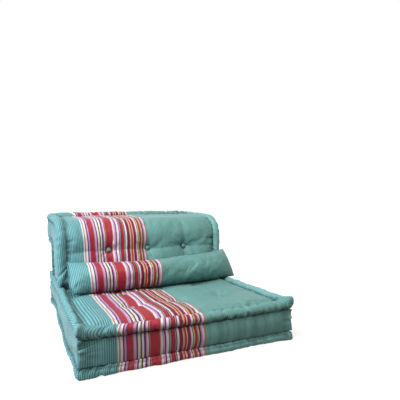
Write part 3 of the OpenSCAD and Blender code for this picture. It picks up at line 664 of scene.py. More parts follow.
def seat_top():
    n = 176
    half_x, half_y = SEAT_W / 2 - ROLL_W + UNDER_ROLL, SEAT_D / 2 - ROLL_W + UNDER_ROLL
    v = spread(n, 0.86)
    u = v.T
    x = u * (half_x - DRAW_IN * (1 - v ** 2))
    y = v * (half_y - DRAW_IN * (1 - u ** 2)) + SEAT_D / 2
    dx, dy = half_x - np.abs(x), half_y - np.abs(y - SEAT_D / 2)
    full = filled(dx, 0.060) * filled(dy, np.where(y < SEAT_D / 2, 0.036, 0.060))
    spots = [(tx, ty) for tx in TUFT_X for ty in TUFT_Y]
    pits, deep, ring, apart = tufts(x, y, spots, 0.052, 0.017)
    rows = sum(crease(y - ty + 0.008 * rumple(x, 0.0, ty, 0.11, 5), 0.016) for ty in TUFT_Y)
    columns = sum(crease(x - tx + 0.008 * rumple(y, 4.0, tx, 0.11, 6), 0.015) for tx in TUFT_X)
    crown = SEAT_REST - PANEL_EDGE - 0.001 + 0.003 * ease(y, 0.42, 0.50)
    z = PANEL_EDGE + crown * full ** 0.55 - full * (0.0048 * pits + 0.0100 * deep)
    z = z - full * (0.0062 * rows * (0.75 + 0.35 * rumple(x, 1.0, y, 0.10, 15)) + 0.0036 * columns)
    z = z + 0.0024 * rumple(x, y, 0.0, 0.085, 31) * full + 0.0012 * rumple(x, y, 2.0, 0.034, 32)
    z = z + 0.0022 * folds_round(x, y, spots, 33)
    z = z + 0.0014 * hill(dy, 0.020) * rumple(x / 0.014, 0.0, y * 6, 1.0, 34)
    z = z + 0.0014 * hill(dx, 0.020) * rumple(0.0, y / 0.014, x * 6, 1.0, 35)
    # the bolster's weight
    z = z - 0.0115 * ease(y, 0.40, 0.47) * (1 - ease(y, 0.56, 0.62)) * (1 - ease(x, 0.30, 0.42))
    px, py = tuft_pull(x, y, spots, 0.060)
    outer = seat_spot(x + 0.12 * px, y + 0.12 * py, np.minimum(z, SEAT_REST + 0.0001))
    drawn = ease(y, 0.03, 0.40) * (0.010 + 0.012 * ease(x, -0.30, 0.03))
    drawn = drawn + 0.007 * (1 - ease(y, 0.03, 0.40)) * (1 - ease(x, -0.30, 0.0))
    # painted shade: a little over the whole top, more along its edges and round the buttons
    tuck = 0.13 + hill(dx, 0.010) + hill(dy, 0.007) + 0.30 * ring
    piece = pad("seat_top_cloth", outer, level_edges(outer, 2, ROLL_LOW - 0.012),
                np.stack([x + drawn, y + 0 * x], -1), striped, "seat", "seat_top_panel", tuck=tuck)
    let_settle(piece, x.shape, apart, 0.003, y < 0.60)


# folds that fan out from the seat's left front corner: height, slope and depth
FAN = ((0.86, 3.8, 1.0), (0.77, 3.8, 1.0), (0.69, 3.6, 1.0), (0.55, 0.8, 0.5))


def boxing(side):
    """A border strip, drawn in and pleated along its two seams."""
    number, length, across = side_sizes(side)
    front, lengthwise = number == 0, number % 2 == 0
    t = np.linspace(-1, 1, 300)[:, None]
    w = np.linspace(0, 1, 34)[None, :]
    reach = length / 2 - BORDER_IN + (0.011 if lengthwise else 0.004)
    s, nook = t * reach, (1 - np.abs(t)) * length / 2
    seed = 51 + number
    dome = 1 - (2 * w - 1) ** 2
    pleats = rumple(s / 0.012, w * 1.3, 0.0, 1.0, seed)
    top, edges = np.exp(-(1 - w) / 0.14), seams(w, 0.14)
    out = 0.0055 * dome * filled(nook, 0.05) ** 0.6
    out = out + (0.0018 * pleats + 0.0022 * (0.5 - stitch_pull(s + 0 * w, seed, BORDER_PITCH))) * edges
    out = out + 0.0024 * rumple(s / 0.07, w * 1.5, 1.0, 1.0, seed + 3) * np.sin(math.pi * w)
    out = out + 0.0011 * rumple(s / 0.017, w * 0.5, 3.0, 1.0, seed + 8)
    out = out + 0.0044 * rumple(s / 0.030, w * 5.5, 5.0, 1.0, seed + 5) * np.exp(-nook / 0.06)
    seen = -t if front else t * (number == 3)
    fan = sum(depth * hill(w - at - slope * nook, 0.021) for at, slope, depth in FAN) * np.exp(-nook / 0.055)
    fan = fan * np.where(seen > 0, 1.0, 0.25)
    swollen = dome * ease(s, -0.25, 0.0) * (1 - ease(s, 0.36, 0.45)) * front
    out = out - 0.0080 * fan + 0.0060 * swollen + 0.0040 * hill(w - 0.62, 0.04) * np.exp(-nook / 0.03)
    y = -across / 2 + BORDER_IN - out + 0.6 * DRAW_IN * (1 - t ** 2) - 0.001 - 0.006 * np.exp(-nook / 0.04)
    x, y = soften_corner(s + 0 * w, y + 0 * s, reach, across / 2 - BORDER_IN + 0.007, 0.03)
    z = BOXING_LOW - 0.001 + w * (BOXING + 0.002) + 0 * s
    outer = on_side(number, x, y, z)
    inwards = (number + 1) * math.pi / 2
    depth = BORDER_T * np.array([math.cos(inwards), math.sin(inwards), 0])
    if lengthwise:
        u = s * (1 if front else -1) + 0 * w
        sway = (0.0035 + 0.0035 * ease(u, -0.3, 0.0)) * front - 0.0045 * swollen
        sway = sway + 0.0035 * rumple(s / 0.045, w * 1.2, 9.0, 1.0, seed) * ease(u, 0.02, 0.08)
        uv = np.stack([u + 0.0015 * pleats * top + sway, z - 0.1], -1)
    else:
        u = (0.4 if side == "right" else -0.6) + z + 0.0015 * rumple(s / 0.05, w, 0.0, 1.0, seed)
        uv = np.stack([u + 0.16 * slant(nook), s + 0 * w], -1)
    # painted shade: some over the whole strip, more at its two seams and in the fanned folds
    tuck = 0.22 + 0.78 * seams(w, 0.045) + 0.55 * fan
    pad(f"seat_boxing_{side}", outer, (outer[:, 0] + depth, outer[:, -1] + depth), uv,
        striped if lengthwise else teal, "seat", f"seat_border_{side}", tuck=tuck)


def seat_bottom():
    t = np.linspace(-1, 1, 90)
    half_x, half_y = [size / 2 - ROLL_W - DRAW_IN - 0.0003 for size in (SEAT_W, SEAT_D)]
    x, y = t[None, :] * half_x, t[:, None] * half_y + SEAT_D / 2
    z = 0.0006 + 0 * x + 0 * y
    for tx in TUFT_X:
        for ty in TUFT_Y:
            z = z + 0.0108 * (1 - ease(np.hypot(x - tx, y - ty), 0.013, 0.030))
    z = z + 0.0012 * (hill(np.abs(x) - half_x, 0.01) + hill(np.abs(y - SEAT_D / 2) - half_y, 0.01))
    outer = spot(x, y, z)
    pad("seat_bottom_cloth", outer, level_edges(outer, 2, LOW_ROLL), np.stack([0.5 + x + 0 * y, y + 0 * x], -1),
        underside, "seat", "seat_bottom_panel")


# ---- the back
def face_at(s, off):
    """Y and Z at distance s along the back's face, at height off above it."""
    s, off = np.broadcast_arrays(np.asarray(s, float), off)
    straight = (BACK_Y + s * math.sin(LEAN) - off * math.cos(LEAN),
                FOOT_Z + s * math.cos(LEAN) + off * math.sin(LEAN))
    top = (BACK_Y + FACE_LEN * math.sin(LEAN) + HEAD_R * math.cos(LEAN),
           FOOT_Z + FACE_LEN * math.cos(LEAN) - HEAD_R * math.sin(LEAN))
    a = LEAN + (s - FACE_LEN) / HEAD_R
    bend = (top[0] - (HEAD_R + off) * np.cos(a), top[1] + (HEAD_R + off) * np.sin(a))
    far = s - FACE_LEN - BEND_LEN
    flat = (top[0] - HEAD_R * math.sin(RISE) + far * math.cos(RISE) - off * math.sin(RISE),
            top[1] + HEAD_R * math.cos(RISE) + far * math.sin(RISE) + off * math.cos(RISE))
    first, second = s < FACE_LEN, s < FACE_LEN + BEND_LEN
    return [np.where(first, straight[k], np.where(second, bend[k], flat[k])) for k in (0, 1)]


def rear_at(s, off):
    """The same for the line of the rear panel: up the stem, then out under the head."""
    s, off = np.broadcast_arrays(np.asarray(s, float), off)
    a = (s - STEM_LEN) / NOTCH_R
    up = (REAR_FOOT[0] + off, REAR_FOOT[1] + s)
    bend = (REAR_FOOT[0] + NOTCH_R - (NOTCH_R - off) * np.cos(a),
            REAR_FOOT[1] + STEM_LEN + (NOTCH_R - off) * np.sin(a))
    out = (REAR_FOOT[0] + NOTCH_R + s - STEM_LEN - NOTCH_LEN, UNDER_Z - off)
    first, second = s < STEM_LEN, s < STEM_LEN + NOTCH_LEN
    return [np.where(first, up[k], np.where(second, bend[k], out[k])) for k in (0, 1)]


# each line round the back: its path, its length and half its roll's width
LINES = {"face": (face_at, FACE_TOTAL, ROLL_W / 2), "rear": (rear_at, REAR_TOTAL, REAR_ROLL / 2)}


def band_on_back(x):
    return -0.338 + (x + 0.345) * (0.368 / 0.350)


def back_side_roll(line, sign):
    path, whole, half = LINES[line]
    face, left = line == "face", sign < 0
    k = column(330 if face else 220)
    a, a_wide = angles(30 if face else 26)
    s = k * whole
    seed = (71 if face else 81) + (0 if left else 2)
    shape = roll_shape(s, a, seed, line, 1.0, line, 1.2 if left else 2.2)
    if face and left:
        shape = shape * (1.12 + 0.09 * hill(s - 0.03, 0.022))
    inset = half * (1 - shape * np.cos(a) - 0.03)
    y, z = path(-half + inset + k * (whole + 2 * half - 2 * inset), half * shape * np.sin(a))
    rings = spot(sign * (SEAT_W / 2 - inset + 0.0025 * grain(s, 0.08, sign * 2.0, seed + 1)), y, z)
    # the right-hand rolls lie above 0.9 across, where the cloth gets a painted highlight
    wound = -1.0 + 0.06 * s if left else 1.2 + 0.7 * s
    uv = np.stack([wound + a_wide * half, s + 0 * a_wide], -1)
    # the left face roll gets painted shade on its inner side, next to the face panel
    sew_roll(f"back_{line}_roll_{'left' if left else 'right'}", "back", rings, uv, teal, s, a, line, seed,
             0.40 * hill(turn(a, 3.3), 0.7) * left)


def back_cross_roll(line, end):
    path, whole, half = LINES[line]
    top = line == "face" and end
    t = spread(320, 0.9)
    a, a_wide = angles(26)
    s = t * SEAT_W / 2
    seed = 91 + (1 if end else 0) + (4 if line == "rear" else 0)
    shape = roll_shape(s, a, seed, "cross", 1.3, "cross", 1.7 if top else 1.0)
    inset = half * (1 - shape * np.cos(a) - 0.03)
    y, z = path(whole + half - inset if end else inset - half, half * shape * np.sin(a))
    x = t * (SEAT_W / 2 - inset - (0.004 if line == "rear" else 0))
    rings = spot(x, y, z + 0.006 * (1 - np.abs(t) ** 8) * top)
    band = -0.338 + (s + 0.369) * (0.368 / 0.386) if top else band_on_back(s) + 0.003 * grain(s, 0.03, 1.0, seed)
    place = ("top" if top else "head") if end else "foot"
    sew_roll(f"back_{line}_roll_{place}", "back", rings, np.stack([band + 0 * a_wide, a_wide * half + 0 * s], -1),
             striped, s, a, "cross", seed)


def back_face():
    half = SEAT_W / 2 - ROLL_W + UNDER_ROLL
    x = spread(168, 0.86).T * half
    s = np.linspace(ROLL_W / 2 - UNDER_ROLL, FACE_TOTAL - ROLL_W / 2 + UNDER_ROLL, 200)[:, None]
    dx = half - np.abs(x)
    ds = np.minimum(s, FACE_TOTAL - s) - ROLL_W / 2 + UNDER_ROLL
    full = filled(dx, 0.060) * filled(ds, 0.06)
    spots = [(tx, BACK_TUFT_S) for tx in TUFT_X]
    pits, deep, ring, apart = tufts(x, s, spots, 0.050, 0.016)
    off_row = s - BACK_TUFT_S + 0.007 * rumple(x, 0.0, 7.0, 0.09, 8)
    reach = ease(s, 0.02, 0.10) * (1 - ease(s, BACK_TUFT_S + 0.02, BACK_TUFT_S + 0.24))
    columns = sum(crease(x - tx + 0.006 * rumple(s, 4.0, tx, 0.09, 9), 0.020) * reach * depth
                  for tx, depth in zip(TUFT_X, (0.5, 0.8, 1.2)))
    crown = FACE_CROWN + (TOP_CROWN - FACE_CROWN) * ease(s, FACE_LEN - 0.02, FACE_LEN + BEND_LEN)
    rise = -0.004 + (crown + 0.003) * full ** 0.5 - full * (0.0100 * pits + 0.0120 * deep)
    row = crease(off_row, 0.026) * (0.75 + 0.35 * rumple(x, 9.0, 0.0, 0.12, 10))
    rise = rise - full * (0.0185 * row + 0.0100 * columns)
    rise = rise + 0.0042 * rumple(x, s, 0.0, 0.085, 41) * full + 0.0014 * rumple(x, s, 2.0, 0.032, 42)
    rise = rise + 0.0030 * folds_round(x, s, spots, 43, 0.085)
    # the cloth is pleated along its side seams
    pleat = np.clip(rumple(x * 2.2, s / 0.017, 0.0, 1.0, 44) - 0.1, 0, 1)
    rise = rise - 0.0125 * hill(dx - 0.012, 0.034) * pleat * ease(FACE_LEN + 0.04 - s, 0, 0.05)
    rise = rise + 0.0030 * hill(dx, 0.022) * rumple(0.0, s / 0.013, x * 6, 1.0, 46)
    rise = rise + 0.0022 * hill(ds, 0.02) * rumple(x / 0.013, 0.0, s * 4, 1.0, 45)
    px, ps = tuft_pull(x, s, spots, 0.075)
    outer = spot(x + 0.14 * px, *face_at(s + 0.10 * ps, rise))
    edges = [spot(outer[:, k, 0], *face_at(s[:, 0], -ROLL_W / 2)) for k in (0, -1)]
    uv = np.stack([band_on_back(x) + 0 * s, s + 0 * x], -1)
    # painted shade at the panel's edges, along the row of buttons and round them
    tuck = hill(dx, 0.011) + hill(ds, 0.007) + 0.45 * hill(off_row, 0.0035) + 0.30 * ring
    piece = pad("back_face_cloth", outer, edges, uv, striped, "back", "back_face_panel", 0.75, tuck)
    let_settle(piece, full.shape, apart, 0.006)


def back_rear():
    half = SEAT_W / 2 - REAR_ROLL + 0.003
    x = np.linspace(-half, half, 120)[None, :]
    s = np.linspace(REAR_ROLL / 2 - 0.003, REAR_TOTAL - REAR_ROLL / 2 + 0.003, 130)[:, None]
    dx = half - np.abs(x)
    ds = np.minimum(s, REAR_TOTAL - s) - REAR_ROLL / 2 + 0.003
    full = filled(dx, 0.06) * filled(ds, 0.05)
    ts = BACK_TUFT_Z - REAR_FOOT[1]
    pits, deep = tufts(x, s, [(tx, ts) for tx in TUFT_X], 0.04, 0.015)[:2]
    rise = -0.004 + 0.012 * full ** 0.6 - full * (0.004 * pits + 0.0035 * deep + 0.003 * hill(s - ts, 0.01))
    rise = rise + 0.0012 * rumple(x, s, 0.0, 0.05, 61)
    rise = rise + 0.0014 * hill(dx, 0.02) * rumple(0.0, s / 0.014, 0.0, 1.0, 62)
    outer = spot(x, *rear_at(s, rise))
    edges = [spot(outer[:, k, 0], *rear_at(s[:, 0], -REAR_ROLL / 2)) for k in (0, -1)]
    pad("back_rear_cloth", outer, edges, np.stack([band_on_back(x) + 0 * s, s + 0 * x], -1), striped, "back",
        "back_rear_panel", 0.75)


def back_side(sign):
    """A border in the shape of a comma, between the lines of the face and the rear."""
    k, w = column(130), column(44).T
    face = face_at(-0.018 + k * (FACE_TOTAL + 0.012), -ROLL_W / 2 + 0.003)
    rear = rear_at(-0.014 + k * (REAR_TOTAL + 0.010), -REAR_ROLL / 2 + 0.003)
    y, z = face[0] + w * (rear[0] - face[0]), face[1] + w * (rear[1] - face[1])
    seed = 101 + (1 if sign > 0 else 0)
    out = 0.0065 * np.sin(math.pi * w) ** 0.7 + 0.013 * ease(k, 0.78, 1.0)
    out = out + 0.0022 * seams(w, 0.16) * rumple(k * FACE_TOTAL / 0.016, w * 1.5, 0.0, 1.0, seed)
    out = out + 0.0022 * rumple(y, z, 0.0, 0.06, seed + 3) * np.sin(math.pi * w)
    outer = spot(sign * (SEAT_W / 2 - BORDER_IN + out), y, z)
    node = f"back_border_{'right' if sign > 0 else 'left'}"
    # painted shade along its two seams
    pad(f"{node}_cloth", outer, level_edges(outer, 0, sign * (SEAT_W / 2 - BORDER_IN - BORDER_T)),
        np.stack([(0.3 if sign > 0 else -1.2) + z, y], -1), teal, "back", node, tuck=seams(w, 0.045))


def back_head():
    x, w = np.linspace(-1, 1, 220)[:, None] * (SEAT_W / 2 - BORDER_IN + 0.013), column(26).T
    low, top = UNDER_Z + REAR_ROLL / 2 - 0.002, float(face_at(FACE_TOTAL, -ROLL_W / 2)[1]) + 0.012
    low_y = HEAD_REAR + REAR_ROLL / 2 - BORDER_IN
    top_y = float(face_at(FACE_TOTAL, 0)[0]) + ROLL_W / 2 - BORDER_IN
    y = low_y + w * (top_y - low_y) + 0.006 * np.sin(math.pi * w)
    y = y + 0.0018 * seams(w, 0.16) * rumple(x / 0.014, w * 1.5, 0.0, 1.0, 111)
    y = y + 0.0015 * rumple(x, w * 0.1, 0.0, 0.06, 112)
    z = low + w * (top - low) + 0 * x
    outer = spot(x, y, z)
    pad("back_head_cloth", outer, level_edges(outer, 1, low_y - BORDER_T + DEPTH_SHIFT),
        np.stack([band_on_back(x) + 0 * w, z], -1), striped, "back", "back_border_head")


def back_foot():
    low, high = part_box("back_border_foot")
    x, w = np.linspace(low.x, high.x, 40)[:, None], column(30).T
    y = low.y + w * (high.y - low.y) + 0 * x
    z = low.z + 0.016 * (1 - np.sin(math.pi * w) ** 0.35) + 0 * x
    outer = np.stack([x + 0 * w, y, z], -1)
    pad("back_foot_cloth", outer, level_edges(outer, 2, high.z), np.stack([0.5 + x + 0 * w, y], -1),
        underside, "back", "back_border_foot", 0.8)


# ---- the bolster
B_LEN, B_HEIGHT, B_FRONT, B_REAR, B_DRAW, B_CORNER = 0.905, 0.184, 0.068, 0.044, 0.015, 0.006
B_SHIFT, B_TILT, B_SKEW = 0.021, math.radians(49), math.radians(0.7)
B_Z = SEAT_REST + 0.0003 + B_HEIGHT / 2 * math.sin(B_TILT) + 0.0078
LEAN_S = (B_Z + B_HEIGHT / 2 * math.sin(B_TILT) - FOOT_Z) / math.cos(LEAN)
B_Y = BACK_Y + LEAN_S * math.sin(LEAN) - FACE_CROWN * math.cos(LEAN) - B_HEIGHT / 2 * math.cos(B_TILT) - 0.0003
# soft folds of its cover: place, direction and how far each runs
BOLSTER_FOLDS = ((0.150, -0.050, 1.0, 0.022), (0.185, -0.040, 0.6, 0.035), (0.290, 0.010, 1.15, 0.040),
                 (0.360, -0.020, 0.8, 0.030), (-0.400, -0.020, 2.3, 0.022), (-0.300, 0.045, 1.7, 0.020),
                 (-0.425, -0.066, 0.9, 0.016), (-0.410, -0.078, 2.5, 0.014))


def lay_flat(x, v, n):
    """From the bolster's own frame, X along it, V up its height and N out of its front."""
    y, z = v * math.cos(B_TILT) - n * math.sin(B_TILT), v * math.sin(B_TILT) + n * math.cos(B_TILT)
    c, d = math.cos(B_SKEW), math.sin(B_SKEW)
    return spot(x * c - z * d + B_SHIFT, y + B_Y, x * d + z * c + B_Z)


def lay_bolster(p):
    """The same for the stuffed cover, which sags between its ends, its upper edge most of all."""
    x, v, n = p[..., 0], p[..., 1], p[..., 2]
    bow = 1 - np.clip(np.abs(x) / (B_LEN / 2), 0, 1) ** 2
    upper = ease(v, -B_HEIGHT / 2, B_HEIGHT / 2)
    v = v - 0.005 * bow - 0.004 * (1 - ease(x, 0.25, 0.42))
    v = v - upper * (0.005 * bow + 0.0125 * hill(x + 0.02, 0.19))
    return lay_flat(x, v, n + 0.008 * bow * ease(n, 0.0, 0.03))


def cover_half(x, y, u, v, full, sign, rise, seed):
    """Height of the cover's front or rear, with its gathers, wrinkles and folds."""
    wave = 0.0020 * rumple(x / 0.020, y * 12, 0.0, 1.0, seed) * np.exp(-(1 - np.abs(v)) / 0.16)
    wave = wave + 0.0056 * rumple(x * 0.8 + y * 1.1, y * 1.5 - x * 0.4, 0.0, 0.055, seed + 1) * full
    wave = wave + 0.0036 * rumple(x * 1.2 + y * 1.2, (y - x) * 0.30, 0.0, 0.020, seed + 4) * full * ease(u, 0.2, 0.6)
    for fx, fy, way, reach in BOLSTER_FOLDS:
        dx, dy = x - fx, y - fy
        away = dx * math.sin(way) - dy * math.cos(way)
        on = dx * math.cos(way) + dy * math.sin(way)
        wave = wave + 0.0034 * (0.7 * hill(away - 0.011, 0.009) - crease(away, 0.009)) * hill(on, reach) * full
    ends = np.exp(-(1 - np.abs(u)) * (B_LEN / 2) / 0.05)
    wave = wave + 0.0040 * rumple(x * 6, y / 0.017, 0.0, 1.0, seed + 2) * ends * full
    if sign < 0:
        wave = wave * ease(np.abs(v) + 0 * u, 0.2, 0.5)
    return sign * (rise * full + wave * ease(1 - np.abs(v), 0, 0.02))


def bolster():
    nu, nv = 230, 66
    n = nu * nv
    u, v = spread(nu, 1.0), spread(nv, 1.0).T
    half_l, half_h = B_LEN / 2, B_HEIGHT / 2
    right_low = ease(u, 0.75, 1.0) * ease(-v, 0.2, 1.0)
    x = u * (half_l - 0.0045 * (1 - v ** 2)) + 0.014 * ease(u, 0.5, 1.0) + 0.001 * right_low
    x = x + 0.013 * ease(-u, 0.86, 1.0) * ease(-v, 0.5, 1.0)
    x = x - ease(-u, 0.80, 1.0) * (0.002 + 0.008 * ease(-v, -0.9, 0.0))
    y = v * (half_h - np.where(v > 0, 1.25 * B_DRAW * (1 - np.abs(u) ** 5), B_CORNER * np.abs(u) ** 9))
    y = y - 0.007 * right_low
    # the lower left corner droops forward
    droop = ease(-u, 0.80, 1.0) * ease(-v, 0.1, 1.0)
    y = y - 0.013 * droop
    full = np.clip(1 - np.abs(u) ** 8, 0, 1) ** 0.55 * np.clip(1 - v ** 2, 0, 1) ** 0.62
    heights = [cover_half(x, y, u, v, full, sign, rise, seed) + 0.015 * droop
               for sign, rise, seed in ((1, B_FRONT, 121), (-1, B_REAR, 131))]
    points = np.concatenate([np.stack([x, y, height], -1).reshape(-1, 3) for height in heights])
    # the front and the rear share the points of their rim
    rim = np.ones((nu, nv), bool)
    rim[1:-1, 1:-1] = False
    ids_front = np.arange(n).reshape(nu, nv)
    ids_rear = np.where(rim, ids_front, ids_front + n)
    drawn = 0.007 * ease(v, -1, 1) * (1 - ease(x, -0.30, 0.05))
    uv = np.stack([-0.338 + (x + B_SHIFT + 0.337) * (0.368 / 0.369) + drawn, y + 0.2], -1)
    faces, loops = [], []
    for i, j in np.ndindex(nu - 1, nv - 1):
        quad = [(i, j), (i + 1, j), (i + 1, j + 1), (i, j + 1)]
        for ids, order in ((ids_front, quad), (ids_rear, quad[::-1])):
            faces.append([ids[q] for q in order])
            loops += [uv[q] for q in order]
    used, faces = np.unique(faces, return_inverse=True)
    faces = faces.reshape(-1, 4).tolist()
    # painted shade along the cover's rim and towards its ends
    tuck = hill((1 - np.abs(v)) * half_h, 0.004) + hill((1 - np.abs(u)) * half_l, 0.005)
    piece = make_piece("bolster_cloth", lay_bolster(points[used]), faces, loops, striped, "bolster",
                       ["bolster_cover_front", "bolster_cover_rear"], 0.85, np.tile(tuck.ravel(), 2)[used])
    stuffed = points[used] * (0.980, 0.955, 0.90) + (0.0, -0.001, 0.0)
    make_piece("bolster_stuffing", lay_bolster(stuffed), faces, loops, wadding, "bolster", ["bolster_fill"], 0.85)
    # the cover is held at its rim and along the zip
    near_zip = (np.abs(v) < 0.3) & (np.abs(x) < 0.32) & ~rim
    to_settle.append((piece, np.concatenate([rim.ravel(), near_zip.ravel()])[used], 0.007))


# ---- covered buttons
# radius and height, from the middle of the dome over its tucked rim to the middle of its base
BUTTON_PROFILE = ((0.0, 0.0070), (0.0030, 0.0068), (0.0060, 0.0061), (0.0088, 0.0048), (0.0108, 0.0034),
                  (0.0121, 0.0021), (0.0125, 0.0012), (0.0121, 0.0004), (0.0108, 0.0), (0.0, 0.0))


def buttons(name, node, body, facing, places):
    """Cloth-covered buttons at the places, facing one direction."""
    around = 32
    z_axis = Vector(facing).normalized()
    x_axis = Vector((1, 0, 0))
    y_axis = z_axis.cross(x_axis).normalized()
    points, faces, loops = [], [], []
    for place in places:
        base, local, rows = len(points), [], []
        for k, (r, h) in enumerate(BUTTON_PROFILE):
            rows.append([])
            for j in range(around if r else 1):
                a = 2 * math.pi * j / around
                tuck = 1 + 0.022 * math.cos(a * 8 + k) * (1 if k > 4 else 0)
                lx, ly = r * tuck * math.cos(a), r * tuck * math.sin(a)
                rows[-1].append(base + len(local))
                local.append((lx, ly))
                points.append(tuple(Vector(place) + x_axis * lx + y_axis * ly + z_axis * h))
        for upper, lower in zip(rows, rows[1:]):
            for j in range(around):
                k = (j + 1) % around
                quad = [upper[j % len(upper)], lower[j % len(lower)], lower[k % len(lower)], upper[k % len(upper)]]
                quad = list(dict.fromkeys(quad))
                faces.append(tuple(quad))
                loops += [(0.5 + local[q - base][0], local[q - base][1]) for q in quad]
    make_piece(name, points, faces, loops, button_cloth, body, [node])


# ---- all cloth pieces
for side in SIDES:
    seat_roll(side, False)
    seat_roll(side, True)
    boxing(side)
seat_top()
seat_bottom()
for sign in (-1, 1):
    back_side_roll("face", sign)
    back_side_roll("rear", sign)
    back_side(sign)
for line in LINES:
    for end in (False, True):
        back_cross_roll(line, end)
back_face()
back_rear()
back_head()
back_foot()
bolster()
face_y, face_z = [float(v) for v in face_at(BACK_TUFT_S, -0.002)]
seat_grid = [(tx, ty + DEPTH_SHIFT) for tx in TUFT_X for ty in TUFT_Y]
buttons("seat_buttons", "seat_top_buttons", "seat", (0, 0, 1), [(*at, PANEL_EDGE + 0.006) for at in seat_grid])
buttons("seat_floor_buttons", "seat_bottom_buttons", "seat", (0, 0, -1), [(*at, 0.011) for at in seat_grid])
buttons("back_buttons", "back_face_buttons", "back", (0, -math.cos(LEAN), math.sin(LEAN)),
        [(tx, face_y + DEPTH_SHIFT, face_z) for tx in TUFT_X])
buttons("back_rear_button_set", "back_rear_buttons", "back", (0, 1, 0),
        [(tx, REAR_FOOT[0] + 0.005 + DEPTH_SHIFT, BACK_TUFT_Z) for tx in TUFT_X])


# ---- hand stitches and the zip's teeth
class Grower:
    """Geometry nodes that put one small shape on each point of a mesh."""

    def __init__(self, name, sizes):
        self.tree = bpy.data.node_groups.new(name, "GeometryNodeTree")
        self.tree.interface.new_socket("Points", in_out="INPUT", socket_type="NodeSocketGeometry")
        self.ids = {}
        for label, value in sizes.items():
            made = self.tree.interface.new_socket(label, in_out="INPUT", socket_type="NodeSocketFloat")
            made.default_value = value
            self.ids[label] = made.identifier
        self.tree.interface.new_socket("Mesh", in_out="OUTPUT", socket_type="NodeSocketGeometry")
        self.given = self.tree.nodes.new("NodeGroupInput").outputs
        self.end = self.tree.nodes.new("NodeGroupOutput")

    def node(self, kind, values, out=0, **settings):
        """A new node's output."""
        made = self.tree.nodes.new(kind)
        for key, value in settings.items():
            setattr(made, key, value)
        for key, value in values.items():
            if isinstance(value, bpy.types.NodeSocket):
                self.tree.links.new(value, made.inputs[key])
            else:
                made.inputs[key].default_value = value
        return made.outputs[out]

    def place(self, rings, length, width, slant, finish):
        """Grains along each point's own direction, slanted a little at random."""
        node = self.node
        shape = node("GeometryNodeMeshUVSphere", {"Segments": 6, "Rings": rings, "Radius": 0.5})
        scale = node("ShaderNodeCombineXYZ", {0: self.given[length], 1: self.given[width], 2: self.given[width]})
        along = node("GeometryNodeInputNamedAttribute", {"Name": "along"}, data_type="FLOAT_VECTOR")
        turned = node("FunctionNodeAlignRotationToVector", {"Vector": along}, axis="X")
        chance = node("FunctionNodeRandomValue", {2: -slant, 3: slant, "Seed": 7}, 1, data_type="FLOAT")
        tilt = node("ShaderNodeCombineXYZ", {0: 0.0, 1: 0.0, 2: chance})
        tilt = node("FunctionNodeEulerToRotation", {0: tilt})
        turned = node("FunctionNodeRotateRotation", {0: turned, 1: tilt}, rotation_space="LOCAL")
        copies = node("GeometryNodeInstanceOnPoints", {"Points": self.given["Points"], "Instance": shape,
                                                       "Rotation": turned, "Scale": scale})
        smooth = node("GeometryNodeSetShadeSmooth", {"Geometry": node("GeometryNodeRealizeInstances", {0: copies})})
        last = node("GeometryNodeSetMaterial", {"Geometry": smooth, "Material": finish})
        self.tree.links.new(last, self.end.inputs[0])


def grow(name, spots, tree, sizes, body, slot, nodes=()):
    """A plain mesh from the tree, on points that each carry a direction."""
    mesh = bpy.data.meshes.new(name)
    mesh.from_pydata([tuple(p) for p, d in spots], [], [])
    along = mesh.attributes.new("along", "FLOAT_VECTOR", "POINT")
    along.data.foreach_set("vector", np.array([d for p, d in spots], np.float32).ravel())
    seedling = bpy.data.objects.new(name + "_points", mesh)
    bpy.context.scene.collection.objects.link(seedling)
    grown = seedling.modifiers.new("grow", "NODES")
    grown.node_group = tree.tree
    for label, value in sizes.items():
        grown[tree.ids[label]] = value
    graph = bpy.context.evaluated_depsgraph_get()
    finished = bpy.data.meshes.new_from_object(seedling.evaluated_get(graph))
    finished.name = name
    bpy.data.objects.remove(seedling)
    add_piece(name, finished, body, slot, nodes)


stitch_tree = Grower("hand_stitch", {"Stitch length": 0.016, "Thread": 0.0013})
stitch_tree.place(5, "Stitch length", "Thread", 0.30, thread)
for body, length in (("seat", 0.015), ("back", 0.013)):
    grow(f"{body}_hand_stitches", hand_stitches[body], stitch_tree, {"Stitch length": length, "Thread": 0.0014},
         body, "teal_cloth")

# the coil of the zip on the bolster's rear: two rows of teeth, and a bar tack at either end
ZIP_HALF, ZIP_N, TOOTH_PITCH = 0.288, -0.0467, 0.0020
teeth = []
for row in (-1, 1):
    for x in np.arange(-ZIP_HALF, ZIP_HALF + 0.0001, TOOTH_PITCH) + 0.0005 * row:
        at, tip = lay_flat(np.array([x, x + 0.0006]), row * np.array([0.00145, 0.0030]), ZIP_N)
        teeth.append((at, tip - at))
for end in (-1, 1):
    for x in np.arange(0.0008, 0.0040, 0.0010):
        for v in (-0.0022, 0.0, 0.0022):
            at, tip = lay_flat(end * (ZIP_HALF + x), np.array([v, v + 0.001]), ZIP_N)
            teeth.append((at, tip - at))
tooth_tree = Grower("zip_tooth", {"Tooth length": 0.0028, "Tooth width": 0.0020})
tooth_tree.place(4, "Tooth length", "Tooth width", 0.0, zip_chain)
grow("zip_coil", teeth, tooth_tree, {"Tooth length": 0.0028, "Tooth width": 0.0021}, "bolster", "zip_chain",
     ["bolster_zip_chain"])

# ---- the cloth settles on its filling
FRAMES, DIP = 14, 0.0012    # steps of the simulation, and the most that cloth may sink below its filling
CLOTH_SETTINGS = {"quality": 5, "mass": 0.2, "tension_stiffness": 25, "compression_stiffness": 25,
                  "shear_stiffness": 8, "bending_stiffness": 0.35, "use_pressure": True,
                  "uniform_pressure_force": 4.0, "vertex_group_mass": "held", "pin_stiffness": 50,
                  "shrink_min": -0.016}


def places_of(mesh, name="co"):
    flat = np.zeros(len(mesh.vertices) * 3, np.float32)
    mesh.vertices.foreach_get(name, flat)
    return flat.reshape(-1, 3)


